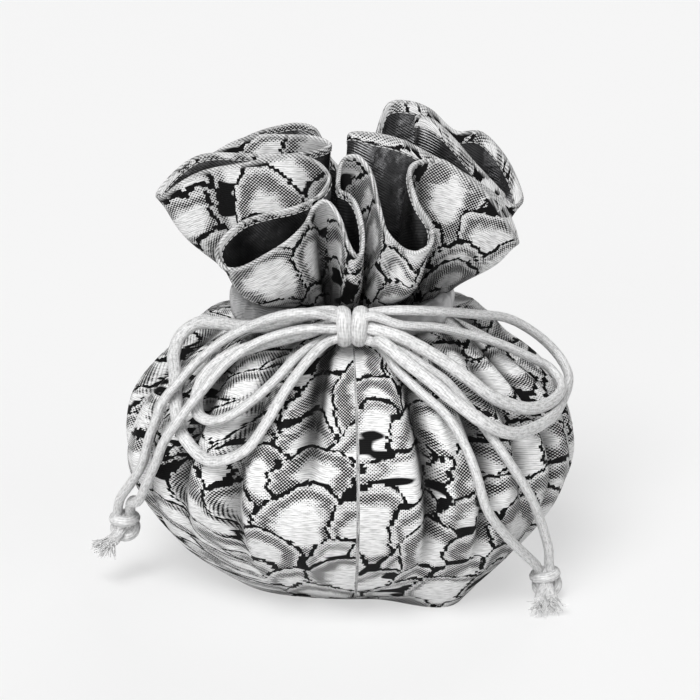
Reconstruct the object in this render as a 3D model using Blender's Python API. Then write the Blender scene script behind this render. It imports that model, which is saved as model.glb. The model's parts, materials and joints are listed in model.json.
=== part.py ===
"""Drawstring jewelry pouch: a lined fabric bag with a gathered neck, a folded ruffle and a bow in cord.

Metres, +Z up, front towards -Y, origin at the middle of the base on the surface it stands on.
Run it in Blender's text editor, or with: blender --background --python part.py
"""

import math

import bmesh
import bpy
import numpy as np
from mathutils import Vector
from mathutils.geometry import tessellate_polygon

MM = 0.001

# Cloth and the gap left between pieces that touch, in millimetres.
SHELL_THICK = 0.6
LINING_THICK = 0.4
GAP = 0.3

# Body of the bag: height and radius of its outer face, from the base to the shoulder.
BASE_RADIUS = 44.0
BODY_RADIUS = 62.5
BODY_PROFILE = (
    (0.0, BASE_RADIUS / BODY_RADIUS),
    (5.0, 0.775),
    (13.0, 0.872),
    (24.0, 0.965),
    (35.0, 1.0),
    (46.0, 0.962),
    (55.5, 0.87),
    (62.5, 0.775),
    (67.0, 0.695),
    (70.0, 0.635),
    (72.2, 0.582),
    (74.2, 0.535),
)

# How far the fullest part lies inside the body's radius, and how far the cloth draws in to the base: all round,
# at the front, and in soft corners given as angle from the front, width of angle and depth.
SLACK = 1.6
BASE_ROUND = 3.0
BASE_FRONT = 7.5
BASE_FADE = 9.0
BASE_CORNERS = ((34.0, 13.0, -11.0), (53.0, 14.0, -5.0), (-92.0, 25.0, 3.0), (-42.0, 18.0, -1.3))

# Pleats that run down from the neck. Each one has its angle from the front at the neck and lower down,
# in degrees, its depth and half width, and the height at which it dies out.
PLEATS = (
    (-13, -12, 3.6, 3.4, 48), (-30, -31, 3.0, 3.6, 8), (-47, -50, 3.4, 4.2, 14), (-64, -66, 3.0, 3.6, 10),
    (-82, -84, 3.4, 4.0, 16), (-101, -100, 3.2, 4.0, 12), (-121, -120, 3.6, 4.4, 16),
    (-141, -143, 3.2, 4.0, 12),
    (-160, -158, 3.4, 4.2, 16), (178, 178, 3.6, 4.0, 14), (158, 157, 3.2, 4.4, 16), (138, 139, 3.6, 4.0, 12),
    (117, 118, 3.2, 4.2, 16), (98, 99, 3.6, 4.0, 12), (80, 79, 3.2, 3.8, 12), (63, 63, 3.4, 3.6, 8),
    (50, 49, 2.6, 3.0, 20), (37, 36, 3.6, 3.2, 8), (20, 21, 4.2, 2.8, 9), (4, 6, 2.0, 3.0, 56),
    (-21, -20, 2.2, 2.6, 52), (-38, -40, 1.8, 2.4, 40), (-56, -57, 2.0, 2.6, 42), (29, 29, 2.0, 2.4, 44),
)
PLEAT_TOP = 66.0
PLEAT_FADE = 22.0
PLEAT_LOW = 0.45
PLEAT_RISE = 90.0
PLEAT_NARROW = 0.75
PLEAT_WIDEN = 0.35
PUFF_DEPTH = 0.2
PUFF_PLACE = 1.9
PUFF_WIDTH = 0.9

# Neck, where the cord draws the cloth in.
NECK_HEIGHT = 76.0
NECK_CENTRE = (0.8, 5.0)
THROAT_CENTRE = (3.0, 12.5)
NECK_THROAT = 11.0
NECK_SHARE = 0.33

# Inside of the bag: the way in through the neck, and the least cloth between the inside and the pleats.
THROAT_RADIUS = 9.5
SHOULDER_HEIGHT = 66.5
BODY_WALL = 1.2
INSIDE_SIDES = 32

# How far up the body, as a share of the neck's height, the pleats start to bunch and to fold over.
ROUND_FROM = 0.62
ROUND_RATE = 2.0
OPEN_FROM = 0.9
OPEN_RATE = 1.0

# Rows of cloth between the neck and the hem, as shares of the way. Just above the casing the cloth falls
# outwards over it.
RUFFLE_ROWS = (0.2, 0.38, 0.6, 0.8, 1.0)
FLARE = 1.15
FALL = 0.12
FALL_FROM = 0.2

COLUMNS = 92

# The hem of the ruffle in millimetres, seen from above it goes round against the clock from the front.
HEM = (
    # small fold at the front centre
    (-7.4, -22.5, 107.0), (-5.5, -24.0, 103.5), (-3.0, -29.8, 98.0), (1.2, -32.0, 95.0),
    (5.2, -30.0, 95.4), (6.2, -25.0, 100.0), (4.5, -18.5, 104.5), (1.5, -14.0, 107.2),
    (-2.0, -10.5, 108.5),
    # front right lobe, which hangs forward
    (-1.7, -7.0, 115.0), (1.5, -7.0, 116.0), (4.8, -12.5, 113.0), (6.2, -17.0, 108.7),
    (7.6, -22.0, 104.0), (8.7, -26.0, 101.0), (11.2, -31.0, 98.5), (14.3, -36.0, 97.2),
    (18.0, -38.5, 97.5), (21.3, -36.5, 99.5), (21.5, -31.5, 103.5), (18.2, -25.0, 107.4),
    (16.5, -18.0, 111.0), (16.5, -13.0, 114.0),
    # right lobe, with its tip low
    (19.0, -10.5, 115.6), (24.0, -12.0, 116.3), (28.6, -14.0, 113.6), (33.0, -15.0, 110.0),
    (36.7, -14.5, 106.6), (41.0, -12.5, 100.5), (45.0, -8.5, 93.0), (45.3, -5.5, 93.0),
    (43.5, -3.5, 97.5), (40.0, -2.5, 103.0), (35.0, -2.5, 107.5), (28.0, -2.5, 112.0),
    (19.3, -2.0, 116.3), (12.0, -1.0, 119.3), (5.0, 0.3, 120.8),
    # fold at the middle, then the first lobe at the back right
    (0.8, 2.0, 120.5), (1.5, 4.8, 117.5), (8.0, 5.6, 113.0), (18.0, 4.8, 110.0),
    (28.0, 4.4, 106.0), (36.5, 4.8, 102.5), (42.3, 7.6, 101.0), (40.5, 11.6, 103.0),
    (34.4, 12.8, 109.5), (28.3, 13.5, 116.0), (22.5, 14.2, 121.0),
    # second lobe at the back right, and the tall fold at the back
    (18.8, 16.5, 121.5), (22.0, 18.4, 116.0), (30.0, 17.6, 110.0), (38.0, 15.8, 104.0),
    (44.5, 14.0, 98.0), (48.0, 17.0, 98.0), (46.3, 21.0, 103.0), (42.0, 22.8, 110.0),
    (36.0, 23.5, 116.0), (29.0, 23.5, 116.5), (22.5, 25.5, 121.5), (16.0, 26.5, 123.5),
    (10.0, 25.8, 123.0), (6.5, 22.5, 115.0),
    # low fold at the back centre
    (3.5, 19.8, 108.0), (-0.5, 19.0, 105.5), (-5.0, 20.0, 109.0),
    # back left lobe
    (-9.0, 23.0, 117.0), (-14.5, 24.5, 118.3), (-22.0, 23.5, 116.7), (-28.5, 20.0, 115.0),
    (-35.0, 14.5, 113.0), (-39.5, 10.2, 111.5), (-38.5, 7.0, 112.5), (-32.0, 5.5, 116.3),
    (-24.6, 5.2, 118.8), (-15.0, 5.3, 119.2), (-9.0, 5.0, 118.5),
    # left lobe, with the longest tip
    (-5.9, 2.7, 117.0), (-9.0, 0.3, 115.5), (-17.4, -0.6, 115.0), (-28.0, -0.6, 115.4),
    (-39.3, -0.2, 114.5), (-46.5, 0.2, 110.5), (-52.0, -1.8, 105.0), (-50.5, -6.0, 104.5),
    (-45.0, -8.0, 108.5), (-38.0, -8.3, 112.0), (-28.0, -11.0, 115.0), (-16.0, -12.5, 117.2),
    (-9.0, -12.2, 115.5),
    # front left lobe, which hangs forward
    (-6.0, -13.5, 112.0), (-8.6, -16.3, 108.0), (-15.0, -19.3, 105.3), (-22.0, -21.5, 103.8),
    (-29.0, -24.3, 102.0), (-34.0, -28.0, 98.5), (-35.0, -31.5, 95.3), (-32.8, -35.2, 92.5),
    (-28.0, -37.3, 92.6), (-21.8, -37.5, 96.0), (-15.5, -34.8, 100.0), (-11.0, -29.5, 103.3),
    (-8.8, -24.0, 106.0),
)

# Satin casing round the neck, open at the front, and the two cords that run in it one above the other.
BAND_CENTRE = (0.0, -1.5, 76.5)
BAND_HALF_HEIGHT = 4.0
BAND_HALF_DEPTH = 2.4
BAND_WALL = 0.4
BAND_FULLNESS = 2.6
BAND_STEPS = 64
BAND_SIDES = 16
BAND_EVENING = 2
BAND_OPENING = math.radians(24.0)
CORD_OPENING = math.radians(20.0)

CORD_RADIUS = 1.5
CORD_STEP = 7.0
KNOT_GAP = 1.0

# Knot of the bow: place along X from its middle and radius, then how much it is flattened front to back.
BOW_CENTRE = (0.5, -33.0, 76.5)
BOW_HALF = 4.6
BOW_PROFILE = ((0.0, 4.0), (1.1, 4.7), (2.3, 5.0), (3.4, 4.4), (4.2, 3.5), (BOW_HALF, 2.9))
BOW_FLATNESS = 0.85

# Where the strands meet the knot of the bow.
LEFT_EXIT = BOW_CENTRE[0] - BOW_HALF - KNOT_GAP
RIGHT_EXIT = BOW_CENTRE[0] + BOW_HALF + KNOT_GAP
FRONT_ROW = -35.0
BACK_ROW = -31.2
UPPER, MIDDLE, LOWER = 79.8, 76.5, 73.2

# Knots near the ends of the cord: middle, way up to the strands, and the frayed ends that leave below.
END_HALF = 3.9
END_PROFILE = ((0.0, 3.7), (1.2, 4.2), (2.4, 4.0), (3.4, 3.1), (END_HALF, 2.3))
LEFT_END = (-61.0, -18.0, 16.5)
LEFT_END_UP = (0.0, -0.3, 0.95)
LEFT_FRAYS = ((-65.5, -27.0, 11.5), (-68.0, -23.0, 10.0))
RIGHT_END = (52.5, -30.5, 5.0)
RIGHT_END_UP = (-0.2, -0.25, 0.95)
RIGHT_FRAYS = ((48.5, -48.0, 2.3), (54.0, -45.5, 2.3))
KNOT_SIDES = 16
FRAY_RADIUS = 1.4
FRAY_FLARE = 2.0
FRAY_FROM = 0.55

# Middle line of each strand of the bow, in millimetres, from the knot of the bow outwards.
STRANDS = {
    "tail_left_1": (
        (LEFT_EXIT, FRONT_ROW, UPPER), (-10.0, -37.0, 81.3), (-17.0, -36.3, 80.5), (-25.0, -32.5, 76.8),
        (-33.0, -30.8, 72.0), (-39.5, -31.0, 66.5), (-44.5, -33.5, 61.5), (-48.5, -35.3, 57.0),
        (-50.5, -35.5, 52.0), (-52.5, -35.0, 46.5), (-54.5, -33.5, 39.0), (-58.0, -28.5, 32.0),
        (-61.5, -22.5, 25.5),
    ),
    "tail_left_2": (
        (LEFT_EXIT, FRONT_ROW, MIDDLE), (-10.5, -36.0, 76.8), (-17.0, -35.0, 75.3), (-25.0, -34.5, 72.0),
        (-32.0, -36.5, 67.5), (-38.0, -40.5, 61.5), (-43.4, -44.0, 55.6), (-47.9, -43.2, 48.6),
        (-50.5, -40.0, 41.5), (-53.5, -35.5, 34.0), (-56.0, -30.0, 27.5), (-58.7, -23.0, 24.5),
    ),
    "loop_left_outer": (
        (LEFT_EXIT, FRONT_ROW, LOWER), (-7.5, -38.0, 72.4), (-11.5, -42.0, 69.2), (-16.5, -46.8, 63.5),
        (-21.5, -51.5, 56.0), (-26.5, -54.0, 50.0), (-33.5, -52.5, 46.5), (-38.5, -48.0, 46.5),
        (-43.3, -42.0, 50.2), (-45.0, -36.5, 53.8), (-45.6, -30.5, 57.7), (-46.2, -23.5, 61.2),
        (-46.9, -17.3, 63.8), (-45.4, -12.3, 67.6), (-41.0, -12.4, 71.2), (-34.8, -18.6, 73.2),
        (-27.5, -26.8, 74.6), (-20.5, -31.2, 76.6), (-12.5, -32.7, 79.3), (LEFT_EXIT, BACK_ROW, UPPER),
    ),
    "loop_left_inner": (
        (LEFT_EXIT, BACK_ROW, LOWER), (-8.6, -33.2, 72.0), (-14.0, -39.5, 69.8), (-19.5, -44.0, 65.0),
        (-25.0, -46.0, 60.5), (-30.0, -46.5, 57.0), (-35.0, -45.0, 54.8), (-39.0, -41.2, 55.2),
        (-39.6, -37.2, 59.0), (-37.2, -34.0, 63.8), (-32.0, -32.6, 67.9), (-24.0, -31.6, 71.0),
        (-16.5, -32.5, 73.3), (-10.5, -32.8, 75.0), (LEFT_EXIT, BACK_ROW, MIDDLE),
    ),
    "loop_right_outer": (
        (RIGHT_EXIT, BACK_ROW, UPPER), (13.0, -32.9, 80.8), (22.5, -28.7, 79.3), (33.0, -18.0, 75.4),
        (42.5, -5.0, 70.5), (50.5, 1.0, 64.5), (56.5, 2.5, 58.5), (59.5, -2.0, 54.0),
        (58.5, -10.5, 51.8), (54.0, -25.5, 50.0), (47.2, -37.0, 49.8), (41.0, -45.0, 51.5),
        (34.0, -49.8, 56.0), (26.5, -49.0, 61.5), (20.5, -46.3, 66.0), (13.5, -42.3, 70.5),
        (8.5, -39.5, 74.0), (RIGHT_EXIT, FRONT_ROW, LOWER),
    ),
    "loop_right_inner": (
        (RIGHT_EXIT, FRONT_ROW, UPPER), (13.5, -34.5, 77.2), (22.0, -29.3, 75.2), (30.5, -24.0, 71.8),
        (39.0, -19.5, 68.0), (48.0, -14.5, 62.5), (53.8, -12.0, 58.5), (56.6, -16.5, 54.8),
        (53.2, -25.0, 53.4), (47.2, -33.2, 54.2), (41.0, -38.0, 57.0), (35.5, -40.5, 60.5),
        (30.0, -40.5, 65.0), (21.5, -38.5, 70.5), (13.5, -37.3, 74.6), (RIGHT_EXIT, FRONT_ROW, MIDDLE),
    ),
    "tail_right_1": (
        (RIGHT_EXIT, BACK_ROW, MIDDLE), (9.8, -32.9, 74.4), (13.8, -36.6, 70.9), (19.0, -39.8, 67.9),
        (24.5, -41.2, 64.3), (29.5, -43.0, 59.0), (34.5, -45.5, 53.0), (40.5, -47.5, 45.0),
        (46.5, -44.8, 34.5), (50.0, -39.5, 25.0), (52.5, -35.0, 16.0),
    ),
    "tail_right_2": (
        (RIGHT_EXIT, BACK_ROW, LOWER), (8.0, -32.9, 71.7), (9.8, -36.4, 69.6), (12.5, -41.0, 66.8),
        (18.5, -45.8, 62.3), (24.5, -49.2, 57.7), (29.0, -51.8, 51.0), (32.0, -54.5, 44.0),
        (35.0, -54.0, 34.0), (40.0, -48.0, 25.0), (44.5, -41.5, 18.0), (47.8, -36.0, 13.0),
    ),
}


def smooth_loop(points, steps):
    """Points on a closed curve through the given points, evenly spaced in parameter between each two."""
    points = np.asarray(points, float)
    before, after, beyond = (np.roll(points, shift, 0) for shift in (1, -1, -2))
    places = []
    for step in range(steps):
        u = step / steps
        places.append(
            0.5
            * (
                2 * points
                + (after - before) * u
                + (2 * before - 5 * points + 4 * after - beyond) * u**2
                + (3 * points - before - 3 * after + beyond) * u**3
            )
        )
    return np.stack(places, 1).reshape(-1, points.shape[1])


def hem_columns(count):
    """The hem at the chosen number of columns, closer together where it turns, and each one's share of the length."""
    fine = smooth_loop(HEM, 24)
    sides = np.roll(fine, -1, 0) - fine
    lengths = np.linalg.norm(sides, axis=1)
    heading = np.unwrap(np.arctan2(sides[:, 1], sides[:, 0]))
    turning = np.abs(np.diff(heading, append=heading[0] + 2 * math.pi))
    weight = np.concatenate([[0], np.cumsum(lengths + 4.5 * turning)])
    along = np.concatenate([[0], np.cumsum(lengths)])
    wanted = np.linspace(0, weight[-1], count, endpoint=False)
    closed = np.vstack([fine, fine[:1]])
    places = np.stack([np.interp(wanted, weight, closed[:, axis]) for axis in range(3)], 1)
    return places, np.interp(wanted, weight, along) / along[-1]


def drawn_in(plan, share):
    """Plan points of the hem, drawn in towards the throat: share 0 is the neck and 1 the hem itself."""
    offset = plan - THROAT_CENTRE
    reach = np.linalg.norm(offset, axis=1)[:, None]
    throat = NECK_THROAT * (1 - share)
    keep = NECK_SHARE + (1 - NECK_SHARE) * share
    centre = np.asarray(NECK_CENTRE) * (1 - share) + np.asarray(THROAT_CENTRE) * share
    return centre + offset / reach * (throat + keep * reach)


def pleat_depth(turn, height, radius):
    """How far the pleats fold the cloth in at each angle, with a slight puff of cloth on both sides of each."""
    angle = np.degrees(turn) + 90
    depth = np.zeros_like(angle)
    for top, low, deep, wide, end in PLEATS:
        place = low + (top - low) * min(1.0, height / PLEAT_TOP)
        away = np.abs(np.radians((angle - place + 180) % 360 - 180)) * radius
        away /= wide * (PLEAT_NARROW + PLEAT_WIDEN * height / PLEAT_TOP)
        strength = deep * min(1.0, max(0.0, (height - end) / PLEAT_FADE))
        strength *= min(1.0, PLEAT_LOW + height / PLEAT_RISE)
        depth += strength * np.exp(-(away**2))
        depth -= strength * PUFF_DEPTH * np.exp(-(((away - PUFF_PLACE) / PUFF_WIDTH) ** 2))
    return depth


def base_inset(turn, height):
    """How far the cloth has drawn in towards the base at each angle."""
    angle = (np.degrees(turn) + 270) % 360 - 180
    inset = BASE_ROUND + BASE_FRONT * np.maximum(0, np.cos(np.radians(angle)))
    for place, width, depth in BASE_CORNERS:
        inset += depth * np.exp(-(((angle - place) / width) ** 2))
    return inset * math.exp(-height / BASE_FADE)


def cloth_rows():
    """The outer face of the cloth, row by row, and how far each row of the body leaves the inside clear."""
    hem, share = hem_columns(COLUMNS)
    neck = drawn_in(hem[:, :2], 0.0)
    centre = np.asarray(NECK_CENTRE)
    offset = neck - centre
    neck_reach = np.linalg.norm(offset, axis=1)
    neck_turn = np.unwrap(np.arctan2(offset[:, 1], offset[:, 0]))
    body_turn = 2 * math.pi * share
    body_turn += (neck_turn - body_turn).mean()
    body = []
    inside = []
    for height, part in BODY_PROFILE:
        radius = part * BODY_RADIUS
        climb = height / NECK_HEIGHT
        # Going down from the neck the folds first open out sideways, then come out to the round.
        folded = max(0.0, (climb - OPEN_FROM) / (1 - OPEN_FROM)) ** OPEN_RATE
        lobed = max(0.0, (climb - ROUND_FROM) / (1 - ROUND_FROM)) ** ROUND_RATE
        turn = body_turn * (1 - folded) + neck_turn * folded
        # A column stands for the cloth up to a third of the way to its neighbours.
        spread = (np.roll(turn, -1) - np.roll(turn, 1)) % (2 * math.pi) / 6
        depth = sum(pleat_depth(turn + side * spread, height, radius) for side in (-1, 0, 1)) / 3
        round_reach = radius - SLACK - base_inset(turn, height) - depth * (1 - lobed / 2)
        reach = round_reach * (1 - lobed) + lobed * radius * neck_reach / neck_reach.max()
        plan = centre * folded + np.stack([np.cos(turn), np.sin(turn)], 1) * reach[:, None]
        body.append(np.column_stack([plan, np.full(COLUMNS, height)]))
        inside.append((reach.min() - BODY_WALL, height))
    ruffle = [np.column_stack([neck, np.full(COLUMNS, NECK_HEIGHT)])]
    for way in RUFFLE_ROWS:
        fallen = FALL * math.sin(math.pi * max(0.0, way - FALL_FROM) / (1 - FALL_FROM)) ** 2
        plan = drawn_in(hem[:, :2], way**FLARE + fallen)
        height = NECK_HEIGHT + (hem[:, 2] - NECK_HEIGHT) * way
        ruffle.append(np.column_stack([plan, height]))
    return np.stack(body), np.stack(ruffle), inside


def outward(rows):
    """Unit vectors pointing out of the cloth at each point of the rows."""
    across = np.roll(rows, -1, 1) - np.roll(rows, 1, 1)
    up = np.empty_like(rows)
    up[1:-1] = rows[2:] - rows[:-2]
    up[0] = rows[1] - rows[0]
    up[-1] = rows[-1] - rows[-2]
    facing = np.cross(across, up)
    return facing / np.linalg.norm(facing, axis=2)[:, :, None]


def set_in(ruffle, depth):
    """The face of the ruffle that lies the given depth inside its outer face, ending flat at the neck."""
    face = ruffle - outward(ruffle) * depth
    level = outward(ruffle)[0, :, :2]
    face[0, :, :2] = ruffle[0, :, :2] - level / np.linalg.norm(level, axis=1)[:, None] * depth
    face[0, :, 2] = NECK_HEIGHT + depth - SHELL_THICK
    return face


class Skin:
    """A mesh made of closed rows of points and the faces between them."""

    def __init__(self):
        self.points = []
        self.faces = []

    def row(self, places):
        first = len(self.points)
        self.points.extend(Vector(place) * MM for place in places)
        return list(range(first, len(self.points)))

    def circle(self, centre, radius, height):
        turns = [2 * math.pi * step / INSIDE_SIDES for step in range(INSIDE_SIDES)]
        return self.row(
            [
                (centre[0] + radius * math.cos(turn), centre[1] + radius * math.sin(turn), height)
                for turn in turns
            ]
        )

    def join(self, low, high, level=0):
        """Triangles between two rows, split so that cloth of any thickness keeps its faces parallel."""
        count = len(low)
        for column in range(count):
            beside = (column + 1) % count
            a, b, c, d = low[column], low[beside], high[beside], high[column]
            if (level + column) % 2:
                self.faces += [(a, b, c), (a, c, d)]
            else:
                self.faces += [(a, b, d), (b, c, d)]

    def stack(self, rows):
        """Joins rows of places one above the other, and gives the lowest and highest row."""
        indices = [self.row(places) for places in rows]
        for level in range(len(indices) - 1):
            self.join(indices[level], indices[level + 1], level)
        return indices[0], indices[-1]

    def cap(self, row, height):
        centre = self.row([(0, 0, height)])[0]
        for column, index in enumerate(row):
            self.faces.append((index, row[(column + 1) % len(row)], centre))

    def floor(self, rim, hole):
        """Flat ring between the outline of the folds and the way down through the neck."""
        outlines = [[self.points[index] for index in outline] for outline in (rim, hole)]
        known = rim + hole
        for corners in tessellate_polygon(outlines):
            self.faces.append(tuple(known[corner] for corner in corners))

    def object(self, name, material):
        mesh = bpy.data.meshes.new(name)
        mesh.from_pydata(self.points, [], self.faces)
        work = bmesh.new()
        work.from_mesh(mesh)
        bmesh.ops.recalc_face_normals(work, faces=work.faces)
        work.to_mesh(mesh)
        work.free()
        mesh.shade_smooth()
        mesh.set_sharp_from_angle(angle=math.radians(55))
        mesh.materials.append(material)
        item = bpy.data.objects.new(name, mesh)
        bpy.context.scene.collection.objects.link(item)
        return item


def inside_profile(inside, depth):
    """Radius and height of the inside of the bag, from the base to the neck, set in by the given depth."""
    wide = [(radius, height) for radius, height in inside if height < SHOULDER_HEIGHT]
    wide[0] = (wide[0][0], SHELL_THICK)
    line = [Vector(point) for point in wide]
    line += [Vector((THROAT_RADIUS, SHOULDER_HEIGHT)), Vector((THROAT_RADIUS, NECK_HEIGHT))]
    ways = [(after - before).normalized() for before, after in zip(line, line[1:])]
    ways = [Vector((1, 0))] + ways + [Vector((0, 1))]
    places = []
    for point, before, after in zip(line, ways, ways[1:]):
        corner = Vector((-before.y - after.y, before.x + after.x)).normalized()
        places.append(point + corner * depth / corner.dot(Vector((-after.y, after.x))))
    places[-1].y = NECK_HEIGHT + depth
    return places


def inside_face(skin, inside, depth):
    """The inside of the bag, the given depth in from its wall: from the neck down to the base."""
    rows = []
    for radius, height in inside_profile(inside, depth):
        centre = NECK_CENTRE if radius < 2 * THROAT_RADIUS else (0, 0)
        rows.append(skin.circle(centre, radius, height))
    for low, high in zip(rows, rows[1:]):
        skin.join(low, high)
    skin.cap(rows[0], SHELL_THICK + depth)
    return rows[-1]


def outer_shell(body, ruffle, inside):
    """Patterned cloth: body, neck and the outside of the ruffle in one piece."""
    skin = Skin()
    base, hem = skin.stack(np.concatenate([body, ruffle]))
    skin.cap(base, 0)
    neck, hem_inside = skin.stack(set_in(ruffle, SHELL_THICK))
    skin.join(hem, hem_inside)
    skin.floor(neck, inside_face(skin, inside, 0))
    return skin.object("outer_shell", finish("jacquard", (0.62, 0.62, 0.62), 0.55))


def lining(ruffle, inside):
    """Satin on the inside of the ruffle and of the bag, in one piece."""
    skin = Skin()
    near = SHELL_THICK + GAP
    far = near + LINING_THICK
    neck_near, hem_near = skin.stack(set_in(ruffle, near))
    neck_far, hem_far = skin.stack(set_in(ruffle, far))
    skin.join(hem_near, hem_far)
    skin.floor(neck_near, inside_face(skin, inside, GAP))
    skin.floor(neck_far, inside_face(skin, inside, GAP + LINING_THICK))
    return skin.object("lining", finish("satin", (0.22, 0.22, 0.23), 0.35))


def smooth_path(points, step):
    """Points on an open curve through the given points, the given distance apart along it."""
    points = np.asarray(points, float)
    ends = np.vstack([2 * points[0] - points[1], points, 2 * points[-1] - points[-2]])
    fine = smooth_loop(ends, 20)[20 : 20 * len(points)]
    fine = np.vstack([fine, points[-1:]])
    along = np.concatenate([[0], np.cumsum(np.linalg.norm(np.diff(fine, axis=0), axis=1))])
    wanted = np.linspace(0, along[-1], max(2, round(along[-1] / step) + 1))
    return np.stack([np.interp(wanted, along, fine[:, axis]) for axis in range(3)], 1)


def band_reach(body, ruffle):
    """Directions round the neck, and how far out the middle of the casing lies so that it clears the folds."""
    rows = [*body[-4:], *ruffle[:3]]
    between = [low + (high - low) * share / 6 for low, high in zip(rows, rows[1:]) for share in range(7)]
    cloth = np.concatenate(between) - BAND_CENTRE
    cloth = cloth[np.abs(cloth[:, 2]) < BAND_HALF_HEIGHT]
    level = (np.abs(cloth[:, 2]) / BAND_HALF_HEIGHT) ** BAND_FULLNESS
    half_depth = BAND_HALF_DEPTH * (1 - level) ** (1 / BAND_FULLNESS)
    turns = np.linspace(0, 2 * math.pi, BAND_STEPS, endpoint=False) - math.pi / 2
    ways = np.stack([np.cos(turns), np.sin(turns)])
    tangent = (cloth[:, :2] @ ways + half_depth[:, None]).max(axis=0) + GAP
    facing = np.cos(turns[:, None] - turns)
    reach = np.where(facing > 0.2, tangent / np.maximum(facing, 0.2), np.inf).min(axis=1)
    even = sum(np.roll(reach, shift) for shift in range(-BAND_EVENING, BAND_EVENING + 1))
    even /= 2 * BAND_EVENING + 1
    return turns, even + (reach - even).max()


def band_path(reach, opening):
    """Middle of the casing from the right of its opening round the back to the left of it, with the way out."""
    turns, distance = reach
    wanted = np.linspace(opening, 2 * math.pi - opening, BAND_STEPS) - math.pi / 2
    distance = np.interp(wanted, turns, distance, period=2 * math.pi)
    ways = np.stack([np.cos(wanted), np.sin(wanted), np.zeros(BAND_STEPS)], 1)
    return BAND_CENTRE + ways * distance[:, None], ways


def neck_band(reach):
    """Flat tube of satin with open ends."""
    skin = Skin()
    path, ways = band_path(reach, BAND_OPENING)
    turns = [2 * math.pi * side / BAND_SIDES for side in range(BAND_SIDES)]
    ends = []
    for wall in (0.0, BAND_WALL):
        section = []
        for turn in turns:
            size = (abs(math.cos(turn)) ** BAND_FULLNESS + abs(math.sin(turn)) ** BAND_FULLNESS)
            size = size ** (-1 / BAND_FULLNESS)
            across = (BAND_HALF_DEPTH - wall) * size * math.cos(turn)
            section.append((across, (BAND_HALF_HEIGHT - wall) * size * math.sin(turn)))
        rows = [
            [centre + way * across + np.array((0, 0, rise)) for across, rise in section]
            for centre, way in zip(path, ways)
        ]
        ends.append(skin.stack(rows))
    for outer, inner in zip(*ends):
        skin.join(outer, inner)
    return skin.object("neck_band", finish("satin_band", (0.45, 0.45, 0.46), 0.3))


def cord(name, points, material):
    """Round cord through the points, as a curve with closed ends."""
    curve = bpy.data.curves.new(name, "CURVE")
    curve.dimensions = "3D"
    curve.bevel_depth = CORD_RADIUS * MM
    curve.bevel_resolution = 2
    curve.use_fill_caps = True
    spline = curve.splines.new("POLY")
    spline.points.add(len(points) - 1)
    for point, place in zip(spline.points, points):
        point.co = (*(Vector(place) * MM), 1)
    curve.materials.append(material)
    item = bpy.data.objects.new(name, curve)
    bpy.context.scene.collection.objects.link(item)
    return item


def neck_cords(reach, material):
    """The two stretches of cord inside the casing."""
    path, _ = band_path(reach, CORD_OPENING)
    for name, rise in (("neck_cord_upper", 1), ("neck_cord_lower", -1)):
        lift = np.array((0, 0, rise * (CORD_RADIUS + GAP / 2)))
        cord(name, smooth_path(path + lift, CORD_STEP), material)


def turned(skin, profile, centre, axis, squash=1.0):
    """A round solid about the axis, flattened along the way that is square to it and level."""
    axis = Vector(axis).normalized()
    side = axis.cross(Vector((0, 0, 1)) if abs(axis.z) < 0.7 else Vector((1, 0, 0))).normalized()
    third = axis.cross(side)
    rows = []
    for along, radius in profile:
        rows.append([])
        for step in range(KNOT_SIDES):
            turn = 2 * math.pi * step / KNOT_SIDES
            out = side * math.cos(turn) * squash + third * math.sin(turn)
            rows[-1].append(Vector(centre) + axis * along + out * radius)
    first, last = skin.stack(rows)
    skin.faces += [tuple(first), tuple(last)]


def both_ways(profile):
    """A profile of one half of a knot, given as distance from its middle and radius, made into the whole."""
    return [(-along, radius) for along, radius in reversed(profile[1:])] + list(profile)


def bow_knot(material):
    skin = Skin()
    turned(skin, both_ways(BOW_PROFILE), BOW_CENTRE, (1, 0, 0), BOW_FLATNESS)
    return skin.object("bow_knot", material)


def end_knot(name, centre, up, frays, material):
    """Knot in two ends of cord, with the frayed ends joined to it."""
    skin = Skin()
    turned(skin, both_ways(END_PROFILE), centre, up)
    knot = skin.object(name, material)
    for number, tip in enumerate(frays):
        way = Vector(tip) - Vector(centre)
        skin = Skin()
        length = way.length
        turned(
            skin,
            ((0.0, FRAY_RADIUS), (FRAY_FROM * length, FRAY_RADIUS), (length, FRAY_FLARE)),
            centre,
            way,
        )
        fray = skin.object(f"{name}_fray_{number}", material)
        fray.hide_render = True
        fray.display_type = "WIRE"
        union = knot.modifiers.new(f"fray_{number}", "BOOLEAN")
        union.operation = "UNION"
        union.solver = "EXACT"
        union.object = fray
    return knot


def end_exits(centre, up):
    """Where two strands meet the upper end of a knot."""
    up = Vector(up).normalized()
    side = up.cross(Vector((0, 1, 0))).normalized() * (CORD_RADIUS + GAP / 2)
    top = Vector(centre) + up * (END_HALF + KNOT_GAP)
    return top - side, top + side


def finish(name, colour, roughness, metallic=0.0):
    """A Principled material with one colour."""
    material = bpy.data.materials.new(name)
    material.use_nodes = True
    shader = material.node_tree.nodes["Principled BSDF"]
    shader.inputs["Base Color"].default_value = (*colour, 1)
    shader.inputs["Roughness"].default_value = roughness
    shader.inputs["Metallic"].default_value = metallic
    return material


for item in list(bpy.data.objects):
    bpy.data.objects.remove(item, do_unlink=True)

body, ruffle, inside = cloth_rows()
outer_shell(body, ruffle, inside)
lining(ruffle, inside)

reach = band_reach(body, ruffle)
neck_band(reach)
cord_satin = finish("cord_satin", (0.55, 0.55, 0.56), 0.4)
neck_cords(reach, cord_satin)
bow_knot(cord_satin)

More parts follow.
